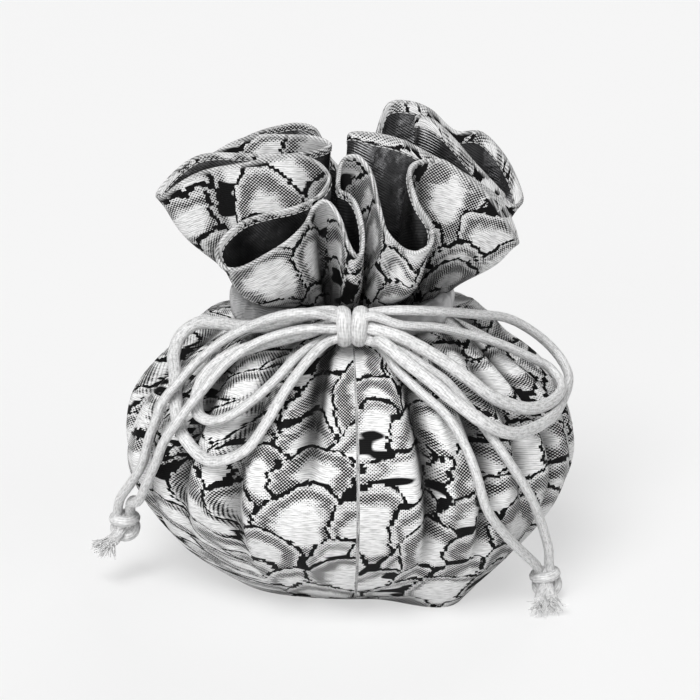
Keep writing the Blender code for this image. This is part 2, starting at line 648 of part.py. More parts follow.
left_exits = end_exits(LEFT_END, LEFT_END_UP)
right_exits = end_exits(RIGHT_END, RIGHT_END_UP)
ends_of = {
    "tail_left_1": left_exits[1],
    "tail_left_2": left_exits[0],
    "tail_right_1": right_exits[0],
    "tail_right_2": right_exits[1],
}
for name, route in STRANDS.items():
    route = [*route, tuple(ends_of[name])] if name in ends_of else route
    cord(name, smooth_path(route, CORD_STEP), cord_satin)
end_knot("end_knot_left", LEFT_END, LEFT_END_UP, LEFT_FRAYS, cord_satin)
end_knot("end_knot_right", RIGHT_END, RIGHT_END_UP, RIGHT_FRAYS, cord_satin)
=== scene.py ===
import json
import math

import bmesh
import bpy
import numpy as np
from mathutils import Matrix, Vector, noise

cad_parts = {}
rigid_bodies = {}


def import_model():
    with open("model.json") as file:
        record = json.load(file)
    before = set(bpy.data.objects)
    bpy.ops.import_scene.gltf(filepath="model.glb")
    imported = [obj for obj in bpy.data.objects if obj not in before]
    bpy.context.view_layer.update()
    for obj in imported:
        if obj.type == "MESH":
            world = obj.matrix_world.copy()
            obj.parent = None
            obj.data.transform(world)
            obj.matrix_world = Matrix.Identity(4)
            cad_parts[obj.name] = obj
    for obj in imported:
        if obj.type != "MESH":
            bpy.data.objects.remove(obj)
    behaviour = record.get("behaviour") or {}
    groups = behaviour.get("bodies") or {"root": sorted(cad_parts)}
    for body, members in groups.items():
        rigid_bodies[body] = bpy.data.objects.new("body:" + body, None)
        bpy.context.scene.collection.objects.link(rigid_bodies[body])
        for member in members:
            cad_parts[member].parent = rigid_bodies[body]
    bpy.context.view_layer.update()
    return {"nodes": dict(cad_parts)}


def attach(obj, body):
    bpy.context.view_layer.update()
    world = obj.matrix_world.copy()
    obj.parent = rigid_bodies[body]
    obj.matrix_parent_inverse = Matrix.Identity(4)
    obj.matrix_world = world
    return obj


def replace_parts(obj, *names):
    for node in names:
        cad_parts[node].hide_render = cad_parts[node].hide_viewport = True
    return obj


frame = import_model()
mm = 0.001
nodes = frame["nodes"]


class Wire:
    # one output socket, so that shader maths reads as plain expressions
    def __init__(self, shader, socket):
        self.shader = shader
        self.socket = socket

    def op(self, operation, *others):
        return self.shader.add("ShaderNodeMath", [self, *others], operation=operation)

    def __add__(self, other):
        return self.op("ADD", other)

    __radd__ = __add__

    def __mul__(self, other):
        return self.op("MULTIPLY", other)

    __rmul__ = __mul__

    def __sub__(self, other):
        return self.op("SUBTRACT", other)

    def __rsub__(self, other):
        return self.shader.add("ShaderNodeMath", [other, self], operation="SUBTRACT")

    def __truediv__(self, other):
        return self.op("DIVIDE", other)

    def sine(self):
        return self.op("SINE")

    def floor(self):
        return self.op("FLOOR")

    def atLeast(self, other):
        return self.op("MAXIMUM", other)

    def atMost(self, other):
        return self.op("MINIMUM", other)

    def step(self, low, high):
        # 0 below low, 1 above high, smooth between
        values = {"Value": self, "From Min": low, "From Max": high}
        return self.shader.add("ShaderNodeMapRange", values, interpolation_type="SMOOTHSTEP")

    def out(self, name):
        return Wire(self.shader, self.socket.node.outputs[name])


class Shader:
    # a material under construction: each method adds a node
    def __init__(self, name):
        self.material = bpy.data.materials.new(name)
        self.material.use_nodes = True
        self.tree = self.material.node_tree
        self.surface = self.tree.nodes["Principled BSDF"]

    def link(self, socket, value):
        if isinstance(value, Wire):
            self.tree.links.new(value.socket, socket)
        elif hasattr(socket.default_value, "__len__") and len(socket.default_value) == 4 and len(value) == 3:
            socket.default_value = (*value, 1)
        else:
            socket.default_value = value

    def add(self, kind, values=None, out=0, **settings):
        node = self.tree.nodes.new(kind)
        for name, value in settings.items():
            setattr(node, name, value)
        pairs = values.items() if isinstance(values, dict) else enumerate(values or ())
        for name, value in pairs:
            self.link(node.inputs[name], value)
        return Wire(self, node.outputs[out])

    def mix(self, factor, first, second):
        return self.add("ShaderNodeMix", {0: factor, 6: first, 7: second}, 2, data_type="RGBA")

    def noise(self, vector, scale, detail=2.0):
        return self.add("ShaderNodeTexNoise", {"Vector": vector, "Scale": scale, "Detail": detail})

    def chance(self, dimensions, value):
        # an even random number, or three as a colour, for each value
        name = "W" if dimensions == "1D" else "Vector"
        return self.add("ShaderNodeTexWhiteNoise", {name: value}, noise_dimensions=dimensions)

    def attribute(self, name):
        return self.add("ShaderNodeAttribute", out=2, attribute_name=name)

    def combine(self, x, y, z=0.0):
        return self.add("ShaderNodeCombineXYZ", [x, y, z])

    def split(self, vector):
        x = self.add("ShaderNodeSeparateXYZ", [vector])
        return x, x.out("Y"), x.out("Z")

    def uv(self):
        return self.split(self.add("ShaderNodeUVMap", uv_map="cloth"))

    def place(self):
        return self.add("ShaderNodeTexCoord", out=3)

    def bump(self, height, strength, distance):
        return self.add("ShaderNodeBump", {"Strength": strength, "Distance": distance, "Height": height})

    def finish(self, **values):
        for name, value in values.items():
            self.link(self.surface.inputs[name.replace("_", " ")], value)
        return self.material


print("materials")

jacquard = {
    "scaleWidth": 15.4,  # mm between the scales along the cloth and up it
    "scaleHeight": 11.0,
    "radius": 9.5,  # smallest scale, mm
    "grows": 3.2,  # how much larger the largest scale is, mm
    "bend": 14.0,  # how far the rows of scales wander, mm
    "outline": 3.2,  # width of the widest outlines, mm
    "plain": 0.76,  # share of the scales that have no black patch
    "weave": (1.0, 0.86),  # pitch of the weave's dots along the cloth and up it, mm
    "jagHeight": 0.9,  # height of the steps in the outlines, and how far they jump sideways, mm
    "jagWidth": 1.7,
    "toothWidth": 1.1,  # width of the upright steps, and how far they jump up, mm
    "toothHeight": 0.7,
    "white": (0.88, 0.88, 0.88),
    "silver": (0.62, 0.62, 0.62),
    "dull": (0.42, 0.42, 0.42),  # between the pale threads
    "black": (0.002, 0.002, 0.0022),
    "worn": (0.007, 0.007, 0.0072),  # the lighter of the black threads
    # colour of the painted shade
    "shadow": (0.004, 0.004, 0.0042),
    "edgeDark": (0.2, 0.2, 0.2),  # twist of threads over the hem's edge
    "edgePale": (0.66, 0.66, 0.66),
    "edgeShows": 0.62,
}


def scalesOnTop(s, x, y):
    # the scales lie over each other like tiles: how far in from its rim the top one is in mm, and its two chances
    inward, chance, chance2 = -1.0, 0.5, 0.5
    for up in (1, 0, -1):
        row = y.floor() + up
        shift = (row * 0.5).op("FRACT")
        column = (x - shift).floor()
        for side in (-1, 0, 1):
            cell = s.combine(column + side, row)
            r, g, b = s.split(s.chance("2D", cell).out("Color"))
            offX = (x - shift - column - (side + 0.5) - (r - 0.5) * 0.5) * jacquard["scaleWidth"]
            offY = (y - row - 0.5 - (g - 0.5) * 0.5) * jacquard["scaleHeight"] * 1.08
            away = s.add("ShaderNodeVectorMath", [s.combine(offX, offY)], "Value", operation="LENGTH")
            depth = b * jacquard["grows"] + jacquard["radius"] - away
            over = depth.op("GREATER_THAN", 0.0)
            inward = over * (depth - inward) + inward
            chance = over * (r - chance) + chance
            chance2 = over * (g - chance2) + chance2
    return inward, chance, chance2


def jacquardMaterial():
    s = Shader("jacquard cloth")
    u, v, _ = s.uv()
    # threads are whole, so the pattern's outlines go in steps
    row = (v / jacquard["jagHeight"]).floor()
    rowShift = s.chance("1D", row)
    column = (u / jacquard["toothWidth"]).floor()
    columnShift = s.chance("1D", column + 50.5)
    jaggedU = u + (rowShift - 0.5) * jacquard["jagWidth"]
    jaggedV = row * jacquard["jagHeight"] + (v - row * jacquard["jagHeight"]) * 0.4
    jaggedV = jaggedV + (columnShift - 0.5) * jacquard["toothHeight"]
    # bend the rows of scales so that none is like another
    spot = s.combine(u * mm, v * mm)
    bendX, bendY, _ = s.split(s.noise(spot, 48.0, 1.0).out("Color"))
    x = (jaggedU + (bendX - 0.5) * jacquard["bend"]) / jacquard["scaleWidth"]
    y = (jaggedV + (bendY - 0.5) * jacquard["bend"]) / jacquard["scaleHeight"]
    inward, chance, chance2 = scalesOnTop(s, x, y)
    width = s.noise(spot, 130.0, 1.0)
    outline = 1.0 - (inward - (width - 0.2) * jacquard["outline"]).step(0.1, 0.3)
    cloud = s.noise(spot, 190.0, 1.0) - 0.5
    soft = inward + cloud * 3.0 + (chance2 - 0.5) * 1.2
    # how light each part of a scale is: pale rim, grey ring, white middle
    light = 0.80 - soft.step(1.2, 3.6) * 0.4 + (soft + (chance - 0.5) * 3.0).step(3.8, 7.0) * 0.6
    light = (light + cloud * 0.25).atLeast(0.2).atMost(1.0)
    # the weave makes its greys with dots of pale thread on black, larger where it is lighter
    along, up = (2 * math.pi / pitch for pitch in jacquard["weave"])
    dots = ((u * along).sine() * (v * up).sine() + (light - 0.5) * 2.3).step(-0.22, 0.24)
    lines = (v * (2 * math.pi / 0.52) + (u * 1.1).sine() * 0.6).sine().step(-0.6, 0.2)
    slubs = s.noise(s.combine(u * 0.35, v * 3.2), 1.0, 2.0)
    thread = s.mix(light, jacquard["silver"], jacquard["white"])
    thread = s.mix(lines * 0.35 + slubs.step(0.35, 0.58) * 0.65, jacquard["dull"], thread)
    scale = s.mix(dots, jacquard["black"], thread)
    blot = s.noise(s.combine(u * 0.05, v * 0.16), 1.0, 1.0)
    plain = jacquard["plain"]
    filled = chance.step(plain, plain + 0.02) * blot.step(0.54, 0.57) * inward.step(2.4, 2.6)
    ink = s.mix(lines * 0.6, jacquard["black"], jacquard["worn"])
    black = outline.atLeast(filled)
    colour = s.mix(black, scale, ink)
    # painted shade in the folds and near the neck; it looks even to the eye when the light it leaves is about squared
    paintedShade = s.attribute("shade")
    colour = s.mix(1.0 - (1.0 - paintedShade).op("POWER", 2.1), colour, jacquard["shadow"])
    # the turned edge shows the pale back threads, twisted over the edge
    twist = (u * 5.5 + v * 6.0).sine().step(-0.7, 0.3)
    twisted = s.mix(twist, jacquard["edgeDark"], jacquard["edgePale"])
    colour = s.mix(s.attribute("hem") * jacquard["edgeShows"], colour, twisted)
    height = dots * 0.5 + lines * 0.3 + slubs * 0.5 - black * 0.6
    return s.finish(
        Base_Color=colour,
        Roughness=0.4 + black * 0.25,
        Normal=s.bump(height, 0.5, 0.00016),
        Specular_IOR_Level=0.1,
    )


satins = {
    "lining satin": {"dark": (0.06, 0.06, 0.062), "pale": (0.17, 0.17, 0.173), "metal": 0.88, "rough": 0.24},
    "casing satin": {"dark": (0.34, 0.34, 0.345), "pale": (0.56, 0.56, 0.565), "metal": 0.6, "rough": 0.3},
}


def satinMaterial(name):
    look = satins[name]
    s = Shader(name)
    place = s.place()
    x, y, z = s.split(place)
    twill = ((x + y) * 5200.0 + z * 7600.0).sine().step(-0.8, 0.8)
    clouds = s.noise(place, 85.0, 3.0)
    colour = s.mix(clouds.step(0.35, 0.68), look["dark"], look["pale"])
    sway = s.noise(s.combine(x, y, z * 0.35), 75.0, 1.0)
    # painted shade: darker deep in the ruffle's folds and inside the bag
    colour = s.mix(s.attribute("shade"), colour, (0.008, 0.008, 0.009))
    folds = s.noise(place, 260.0, 2.0)
    return s.finish(
        Base_Color=colour,
        Metallic=look["metal"],
        Roughness=look["rough"] + clouds * 0.1,
        Normal=s.bump(twill * 0.02 + folds * 0.14 + sway * 1.6, 0.9, 0.0038),
    )


cord = {
    "radius": 1.5,  # mm
    "flat": 0.16,  # how much it is flattened
    "sides": 14,
    "step": 0.9,  # mm between its rings
    "dark": (0.36, 0.36, 0.36),
    "pale": (0.78, 0.78, 0.78),
}


def cordMaterial():
    s = Shader("braided cord")
    u, v, _ = s.uv()
    # fine threads along the cord, with a faint braid across them
    plait = ((u * 1.35).sine() * 1.1 + v * (2 * math.pi / 0.8)).sine()
    threads = ((u * 7.0) + (v * 1.1).sine() * 0.9).sine()
    grain = s.noise(s.combine(u * 3.0, v * 0.55), 1.0, 3.0)
    weave = plait.step(-0.9, 0.5) * 0.25 + threads.step(-0.8, 0.4) * 0.3
    colour = s.mix(weave * 0.5 + grain.step(0.3, 0.62) * 0.72, cord["dark"], cord["pale"])
    return s.finish(
        Base_Color=colour,
        Roughness=0.38 + grain * 0.15,
        Normal=s.bump(weave + grain * 1.2, 0.6, 0.0002),
        Specular_IOR_Level=0.6,
    )


def threadMaterial(name, colour):
    s = Shader(name)
    fleck = s.noise(s.place(), 900.0, 2.0)
    return s.finish(
        Base_Color=s.mix(fleck.step(0.3, 0.7), tuple(c * 0.72 for c in colour), colour),
        Roughness=0.5,
        Normal=s.bump(fleck, 0.4, 0.0001),
    )


studio = {
    "floorSize": 30.0,  # m from the middle to each edge
    "floorGlow": 0.58,  # share of the floor that shows as plain white
    "white": 0.935,  # the background's level
    "worldLight": 0.12,
    # name, way the light comes from, strength, softness in degrees
    "lights": (
        ("key", (-0.3, -0.7, 1.0), 2.85, 34),
        ("front", (-0.35, -1.0, 0.22), 0.7, 24),
        ("fill", (0.9, -0.6, 0.6), 0.4, 50),
        ("rim", (0.3, 1.0, 0.8), 0.5, 30),
    ),
}


def floorMaterial():
    s = Shader("pale floor")
    grain = s.noise(s.place(), 20.0, 2.0)
    s.finish(Base_Color=s.mix(grain, (0.87, 0.87, 0.87), (0.88, 0.88, 0.88)), Roughness=0.75)
    s.surface.inputs["Specular IOR Level"].default_value = 0.1
    level = studio["white"]
    glow = s.add("ShaderNodeEmission", {"Color": (level, level, level), "Strength": 1.0})
    lightPath = s.add("ShaderNodeLightPath")
    seen = lightPath * studio["floorGlow"]
    both = s.add("ShaderNodeMixShader", {0: seen, 1: Wire(s, s.surface.outputs[0]), 2: glow})
    s.tree.links.new(both.socket, s.tree.nodes["Material Output"].inputs["Surface"])
    return s.material


jacquardCloth = jacquardMaterial()
liningSatin = satinMaterial("lining satin")
bandSatin = satinMaterial("casing satin")
cordBraid = cordMaterial()
seamThread = threadMaterial("seam thread", (0.62, 0.62, 0.62))
frayThread = threadMaterial("frayed thread", (0.80, 0.80, 0.80))


def addObject(name, data):
    thing = bpy.data.objects.new(name, data)
    bpy.context.scene.collection.objects.link(thing)
    return thing


def plainObject(name, points, edges, faces):
    mesh = bpy.data.meshes.new(name)
    mesh.from_pydata(points, edges, faces)
    return addObject(name, mesh)


def addPiece(name, mesh):
    piece = addObject(name, mesh)
    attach(piece, "root")
    return piece


def meshPiece(name, points, faces, material, uv, shade=None, edge=None):
    # a piece from points in mm, with its cloth coordinates, and how shaded and how much hem each point is
    mesh = bpy.data.meshes.new(name)
    mesh.from_pydata([tuple(p) for p in np.asarray(points) * mm], [], [tuple(int(i) for i in f) for f in faces])
    layer = mesh.uv_layers.new(name="cloth")
    layer.data.foreach_set("uv", np.asarray(uv, np.float32).reshape(-1))
    if shade is not None:
        for label, values in (("shade", shade), ("hem", edge)):
            mesh.attributes.new(label, "FLOAT", "POINT").data.foreach_set("value", np.asarray(values, np.float32))
    mesh.validate()
    mesh.shade_smooth()
    mesh.set_sharp_from_angle(angle=math.radians(60))
    mesh.materials.append(material)
    return addPiece(name, mesh)


def smoothLoop(points, steps):
    # closed Catmull-Rom curve through the points
    points = np.asarray(points, float)
    before, after, beyond = (np.roll(points, shift, 0) for shift in (1, -1, -2))
    places = []
    for step in range(steps):
        t = step / steps
        square = (2 * before - 5 * points + 4 * after - beyond) * t**2
        cube = (3 * points - before - 3 * after + beyond) * t**3
        places.append(0.5 * (2 * points + (after - before) * t + square + cube))
    return np.stack(places, 1).reshape(-1, points.shape[1])


def unit(rows):
    return rows / np.linalg.norm(rows, axis=1)[:, None]


def distances(points):
    # how far along its line each point lies
    return np.concatenate([[0], np.cumsum(np.linalg.norm(np.diff(points, axis=0), axis=1))])


def smoothPath(points, step):
    # open curve through the points, with a point every step mm
    points = np.asarray(points, float)
    ends = np.vstack([2 * points[0] - points[1], points, 2 * points[-1] - points[-2]])
    fine = np.vstack([smoothLoop(ends, 20)[20:20 * len(points)], points[-1:]])
    along = distances(fine)
    wanted = np.linspace(0, along[-1], max(2, round(along[-1] / step) + 1))
    return np.stack([np.interp(wanted, along, fine[:, axis]) for axis in range(3)], 1)


print("cloth")

cloth = {
    "columns": 480,
    "bodyRadius": 62.5,
    "neckHeight": 76.0,
    "neckCentre": (0.8, 5.0),
    "throatCentre": (3.0, 12.5),  # the point that the ruffle's folds open from
    "neckThroat": 11.0,  # room left open in the drawn neck, mm
    "neckShare": 0.33,  # how much of the hem's folds is left at the neck
    "flare": 1.15,  # over 1 the folds open later on the way up
    "fall": 0.12,  # how far the ruffle falls outwards over the casing
    "puffOut": 3.2,  # the gathered shoulder behind the casing, mm
    "puffUp": 2.4,
    "droop": 2.6,  # how far the front folds hang down over it, mm
    "hemRoll": 1.2,  # thickness of the turned hem, mm
    "pleatGain": 1.55,  # how much deeper the pleats are than the plain cloth shows
    "hemTurn": (1.0, 2.5),  # how far the jacquard is turned down inside at the front and at the back, mm
    "slack": 1.6,  # how far the fullest part lies inside the body's radius, mm
    "seam": (1.5, 0.35),  # seam at the front: degrees from the middle, depth in mm
    "seamJump": 151.0,  # how far the pattern is cut apart there, mm
    "bodyRound": 392.0,  # cloth round the body, mm
}

# height in mm, share of the radius
bodyProfile = [(0, 0.704), (5, 0.775), (13, 0.872), (24, 0.965), (35, 1.0), (46, 0.962), (55.5, 0.87), (62.5, 0.775),
               (67, 0.695), (70, 0.635), (71.8, 0.575), (73.2, 0.51), (74.6, 0.47)]

# pleats of the body: angle from the front at the neck and lower down, depth and width in mm, where they end in mm
pleats = [
    (-11, -10, 5.4, 3.3, 36), (-30, -31, 3, 3.6, 8), (-47, -50, 3.4, 4.2, 14), (-64, -66, 3, 3.6, 10),
    (-82, -84, 3.4, 4, 16), (-101, -100, 3.2, 4, 12), (-121, -120, 3.6, 4.4, 16), (-141, -143, 3.2, 4, 12),
    (-160, -158, 3.4, 4.2, 16), (178, 178, 3.6, 4, 14), (158, 157, 3.2, 4.4, 16), (138, 139, 3.6, 4, 12),
    (117, 118, 3.2, 4.2, 16), (98, 99, 3.6, 4, 12), (80, 79, 3.2, 3.8, 12), (63, 63, 3.4, 3.6, 8),
    (50, 49, 2.6, 3, 20), (37, 36, 3.6, 3.2, 8), (20, 21, 4.2, 2.8, 9), (4, 6, 2, 3, 56),
    (-21, -20, 2.2, 2.6, 52), (-38, -40, 1.8, 2.4, 40), (-56, -57, 2, 2.6, 42), (29, 29, 2, 2.4, 44),
]

hemRoute = [
    # small fold at the front centre
    (-6.2, -22.5, 107), (-3.4, -24.5, 103.5), (-1.2, -29.4, 98.4), (1.2, -31.6, 95.4),
    (3.6, -29.8, 95.8), (3.9, -25, 100), (2.6, -18.5, 104.5), (0.4, -14, 107.2),
    (-2.4, -10.5, 108.5),
    # front right lobe, which hangs forward
    (-1.7, -7, 115), (1.5, -7, 116), (4.8, -12.5, 113), (6.2, -17, 108.7),
    (7.6, -22, 104), (8.7, -26, 101), (11.2, -31, 98.5), (14.3, -36, 97.2),
    (18, -38.5, 97.5), (21.3, -36.5, 99.5), (21.5, -31.5, 103.5), (18.2, -25, 107.4),
    (16.5, -18, 111), (16.5, -13, 114),
    # right lobe, with its tip low
    (19, -10.5, 115.6), (24, -12, 116.3), (28.6, -14, 113.6), (33, -15, 110),
    (36.7, -14.5, 106.6), (41, -12.5, 100.5), (45, -8.5, 93), (45.3, -5.5, 93),
    (43.5, -3.5, 97.5), (40, -2.5, 103), (35, -2.5, 107.5), (28, -2.5, 112),
    (19.3, -2, 116.3), (12, -1, 119.3), (5, 0.3, 120.8),
    # fold at the middle, then the first lobe at the back right
    (0.8, 2, 120.5), (1.5, 4.8, 117.5), (8, 5.6, 113), (18, 4.8, 110),
    (28, 4.4, 106), (36.5, 4.8, 102.5), (42.3, 7.6, 101), (40.5, 11.6, 103),
    (34.4, 12.8, 109.5), (28.3, 13.5, 116), (22.5, 14.2, 121),
    # second lobe at the back right, and the tall fold at the back
    (18.8, 16.5, 121.5), (22, 18.4, 116), (30, 17.6, 110), (38, 15.8, 104),
    (44.5, 14, 98), (48, 17, 98), (46.3, 21, 103), (42, 22.8, 110),
    (36, 23.5, 116), (29, 23.5, 116.5), (22.5, 25.5, 121.5), (16, 26.5, 123.5),
    (10, 25.8, 123), (6.5, 22.5, 115),
    # low fold at the back centre
    (3.5, 19.8, 108), (-0.5, 19, 105.5), (-5, 20, 109),
    # back left lobe
    (-9, 23, 117), (-14.5, 24.5, 118.3), (-22, 23.5, 116.7), (-28.5, 20, 115),
    (-35, 14.5, 113), (-39.5, 10.2, 111.5), (-38.5, 7, 112.5), (-32, 5.5, 116.3),
    (-24.6, 5.2, 118.8), (-15, 5.3, 119.2), (-9, 5, 118.5),
    # left lobe, with the longest tip
    (-5.9, 2.7, 117), (-9, 0.3, 115.5), (-17.4, -0.6, 115), (-28, -0.6, 115.4),
    (-39.3, -0.2, 114.5), (-46.5, 0.2, 110.5), (-52, -1.8, 105), (-50.5, -6, 104.5),
    (-45, -8, 108.5), (-38, -8.3, 112), (-28, -11, 115), (-16, -12.5, 117.2),
    (-9, -12.2, 115.5),
    # front left lobe, which hangs forward
    (-6, -13.5, 112), (-8.6, -16.3, 108), (-15, -19.3, 105.3), (-22, -21.5, 103.8),
    (-29, -24.3, 102), (-34, -28, 98.5), (-35, -31.5, 95.3), (-32.8, -35.2, 92.5),
    (-28, -37.3, 92.6), (-21.8, -37.5, 96), (-15.5, -34.8, 100), (-11, -29.5, 103.3),
    (-8.8, -24, 106),
]


def hemColumns(count):
    # points of the hem, closer together where it turns, and each one's share of the length
    fine = smoothLoop(hemRoute, 40)
    sides = np.roll(fine, -1, 0) - fine
    lengths = np.linalg.norm(sides, axis=1)
    heading = np.unwrap(np.arctan2(sides[:, 1], sides[:, 0]))
    turning = np.abs(np.diff(heading, append=heading[0] + 2 * math.pi))
    weight = np.concatenate([[0], np.cumsum(lengths + 4.5 * turning)])
    along = np.concatenate([[0], np.cumsum(lengths)])
    wanted = np.linspace(0, weight[-1], count, endpoint=False)
    closed = np.vstack([fine, fine[:1]])
    places = np.stack([np.interp(wanted, weight, closed[:, axis]) for axis in range(3)], 1)
    return places, np.interp(wanted, weight, along) / along[-1], along[-1]


hem, hemShare, hemLength = hemColumns(cloth["columns"])
neckCentre = np.asarray(cloth["neckCentre"])


def drawnIn(plan, share):
    # plan of the cloth between the neck, share 0, and the hem, share 1
    share = np.broadcast_to(share, (len(plan),))[:, None]
    offset = plan - cloth["throatCentre"]
    reach = np.linalg.norm(offset, axis=1)[:, None]
    keep = cloth["neckShare"] + (1 - cloth["neckShare"]) * share
    centre = neckCentre * (1 - share) + np.asarray(cloth["throatCentre"]) * share
    return centre + offset / reach * (cloth["neckThroat"] * (1 - share) + keep * reach)


def plainOut(row):
    across = np.roll(row, -1, 0) - np.roll(row, 1, 0)
    out = np.column_stack([across[:, 1], -across[:, 0]])
    return out / np.maximum(np.linalg.norm(out, axis=1), 1e-6)[:, None]


def ruffleRow(way):
    # outer face of the ruffle, way 0 at the neck and 1 at the hem, one way for all or one for each column
    way = np.broadcast_to(np.asarray(way, float), (len(hem),))
    fallen = cloth["fall"] * np.sin(math.pi * np.clip((way - 0.2) / 0.8, 0, 1)) ** 2
    plan = drawnIn(hem[:, :2], np.maximum(way, 0.0) ** cloth["flare"] + fallen)
    row = np.column_stack([plan, cloth["neckHeight"] + (hem[:, 2] - cloth["neckHeight"]) * way])
    front = np.clip((-14.0 - hem[:, 1]) / 14.0, 0, 1)
    row[:, 2] -= cloth["droop"] * front * np.sin(math.pi * np.clip((way - 0.06) / 0.8, 0, 1)) ** 2
    # small gathers that die out on the way up
    turns = hemShare * 2 * math.pi
    gather = 0.55 * np.sin(turns * 58 + 2.2 * np.sin(turns * 5)) + 0.4 * np.sin(turns * 91 + 1.7 * np.sin(turns * 7))
    gather *= (1 - np.minimum(1.0, way * 1.1)) ** 1.3 * np.clip(way * 9 + 0.25, 0, 1)
    row[:, :2] += plainOut(row) * gather[:, None]
    # the cloth's edge is never quite even
    row[:, 2] += 0.35 * np.sin(turns * 23 + 1.3) * way**2
    return row


def ruffleFace(way, depth):
    # the row set in by a depth, square to the cloth
    way = np.broadcast_to(np.asarray(way, float), (len(hem),))
    row = ruffleRow(way)
    low, high = ruffleRow(np.maximum(way - 0.04, 0.0)), ruffleRow(way + 0.04)
    across = np.roll(row, -1, 0) - np.roll(row, 1, 0)
    facing = unit(np.cross(across, high - low))
    facing[:, 2] *= np.minimum(way / 0.12, 1.0)
    return row - facing * depth


columnLength = np.linalg.norm(ruffleRow(1.0) - ruffleRow(0.8), axis=1) / 0.2
backShare = np.clip((hem[:, 1] + 6.0) / 4.0, 0, 1) * np.clip(hem[:, 0] / 6.0, 0, 1)
hemTurn = cloth["hemTurn"][0] + (cloth["hemTurn"][1] - cloth["hemTurn"][0]) * backShare


def belowHem(depth):
    # way of a place that lies a given number of mm below the hem's edge
    return 1 - depth / columnLength


neckPlan = drawnIn(hem[:, :2], 0.0) - neckCentre
neckReach = np.linalg.norm(neckPlan, axis=1)
neckTurn = np.unwrap(np.arctan2(neckPlan[:, 1], neckPlan[:, 0]))
bodyTurn = 2 * math.pi * hemShare
bodyTurn = bodyTurn + (neckTurn - bodyTurn).mean()


def angleFromFront(turn):
    return (np.degrees(turn) + 90 + 180) % 360 - 180


def pleatDepth(angle, height, radius):
    # how deep the cloth is folded in, in mm, for each angle from the front
    depth = np.zeros_like(angle)
    for top, low, deep, wide, end in pleats:
        place = low + (top - low) * min(1, height / 66)
        away = (angle - place + 180) % 360 - 180
        away = np.abs(np.radians(away) * radius)
        strength = np.clip((height - end) / 22, 0, 1) * min(1.0, 0.45 + height / 90)
        share = away / (wide * (0.75 + 0.35 * height / 70))
        depth += deep * strength * np.exp(-share**2) - 0.2 * deep * strength * np.exp(-((share - 1.9) / 0.9) ** 2)
    return depth * cloth["pleatGain"]


def baseInset(angle):
    # how far the cloth draws in to the base, which has a soft corner at the right of the front
    front = np.maximum(0, np.cos(np.radians(angle)))
    return (3.0 + 7.5 * front - 11.0 * np.exp(-((angle - 34) / 13) ** 2) - 5.0 * np.exp(-((angle - 53) / 14) ** 2)
            + 3.0 * np.exp(-((angle + 92) / 25) ** 2) - 1.3 * np.exp(-((angle + 42) / 18) ** 2))


profileLine = smoothPath([(height, share * 100, 0) for height, share in bodyProfile], 0.8)


def bodyRow(height):
    # the body's outside at a height: round below, and folded like the ruffle at the neck
    radius = np.interp(height, profileLine[:, 0], profileLine[:, 1]) / 100 * cloth["bodyRadius"]
    climb = height / cloth["neckHeight"]
    folded = max(0.0, (climb - 0.9) / 0.1)
    lobed = max(0.0, (climb - 0.62) / 0.38) ** 2.0
    turn = bodyTurn * (1 - folded) + neckTurn * folded
    angle = angleFromFront(turn)
    reach = radius - cloth["slack"] - pleatDepth(angle, height, radius) * (1 - 0.5 * lobed)
    low = math.exp(-height / 9.0)
    reach -= baseInset(angle) * low
    seamAngle, seamDepth = cloth["seam"]
    reach -= seamDepth * np.exp(-(np.radians(angle - seamAngle) * radius / 0.8) ** 2) * min(1, height / 4)
    soft = 0.35 * np.sin(turn * 7 + height * 0.11) + 0.3 * np.sin(turn * 11 - height * 0.17 + 1)
    reach += soft * min(1, height / 20) * (1 - lobed)
    reach = reach * (1 - lobed) + lobed * radius * neckReach / neckReach.max()
    # the gathered shoulder behind the casing
    puff = np.sin(np.clip((np.abs(angle) - 78) / 50, 0, 1) * math.pi / 2) ** 2
    puff = puff * math.sin(math.pi * min(max((height - 60) / 14.6, 0), 1)) ** 2
    reach += puff * cloth["puffOut"]
    plan = neckCentre * folded + np.stack([np.cos(turn), np.sin(turn)], 1) * reach[:, None]
    rise = height + 0.35 * low * (1 - np.cos(np.radians(angle) * 9)) * (height > 0.5) + puff * cloth["puffUp"]
    return np.column_stack([plan, rise])


count = cloth["columns"]
wrap = np.append(hemShare, 1.0)
noCloth = np.zeros((2, count + 1))  # cloth coordinates of what is hidden
# the round inside of the bag, from the neck's throat down to the base: radius and height in mm
insideRows = [(9.2, 74.0), (9.2, 67.5), (18, 65.5), (32, 62.5), (40, 57), (46, 48), (49, 36), (47, 24), (41, 12),
              (29, 3.0)]


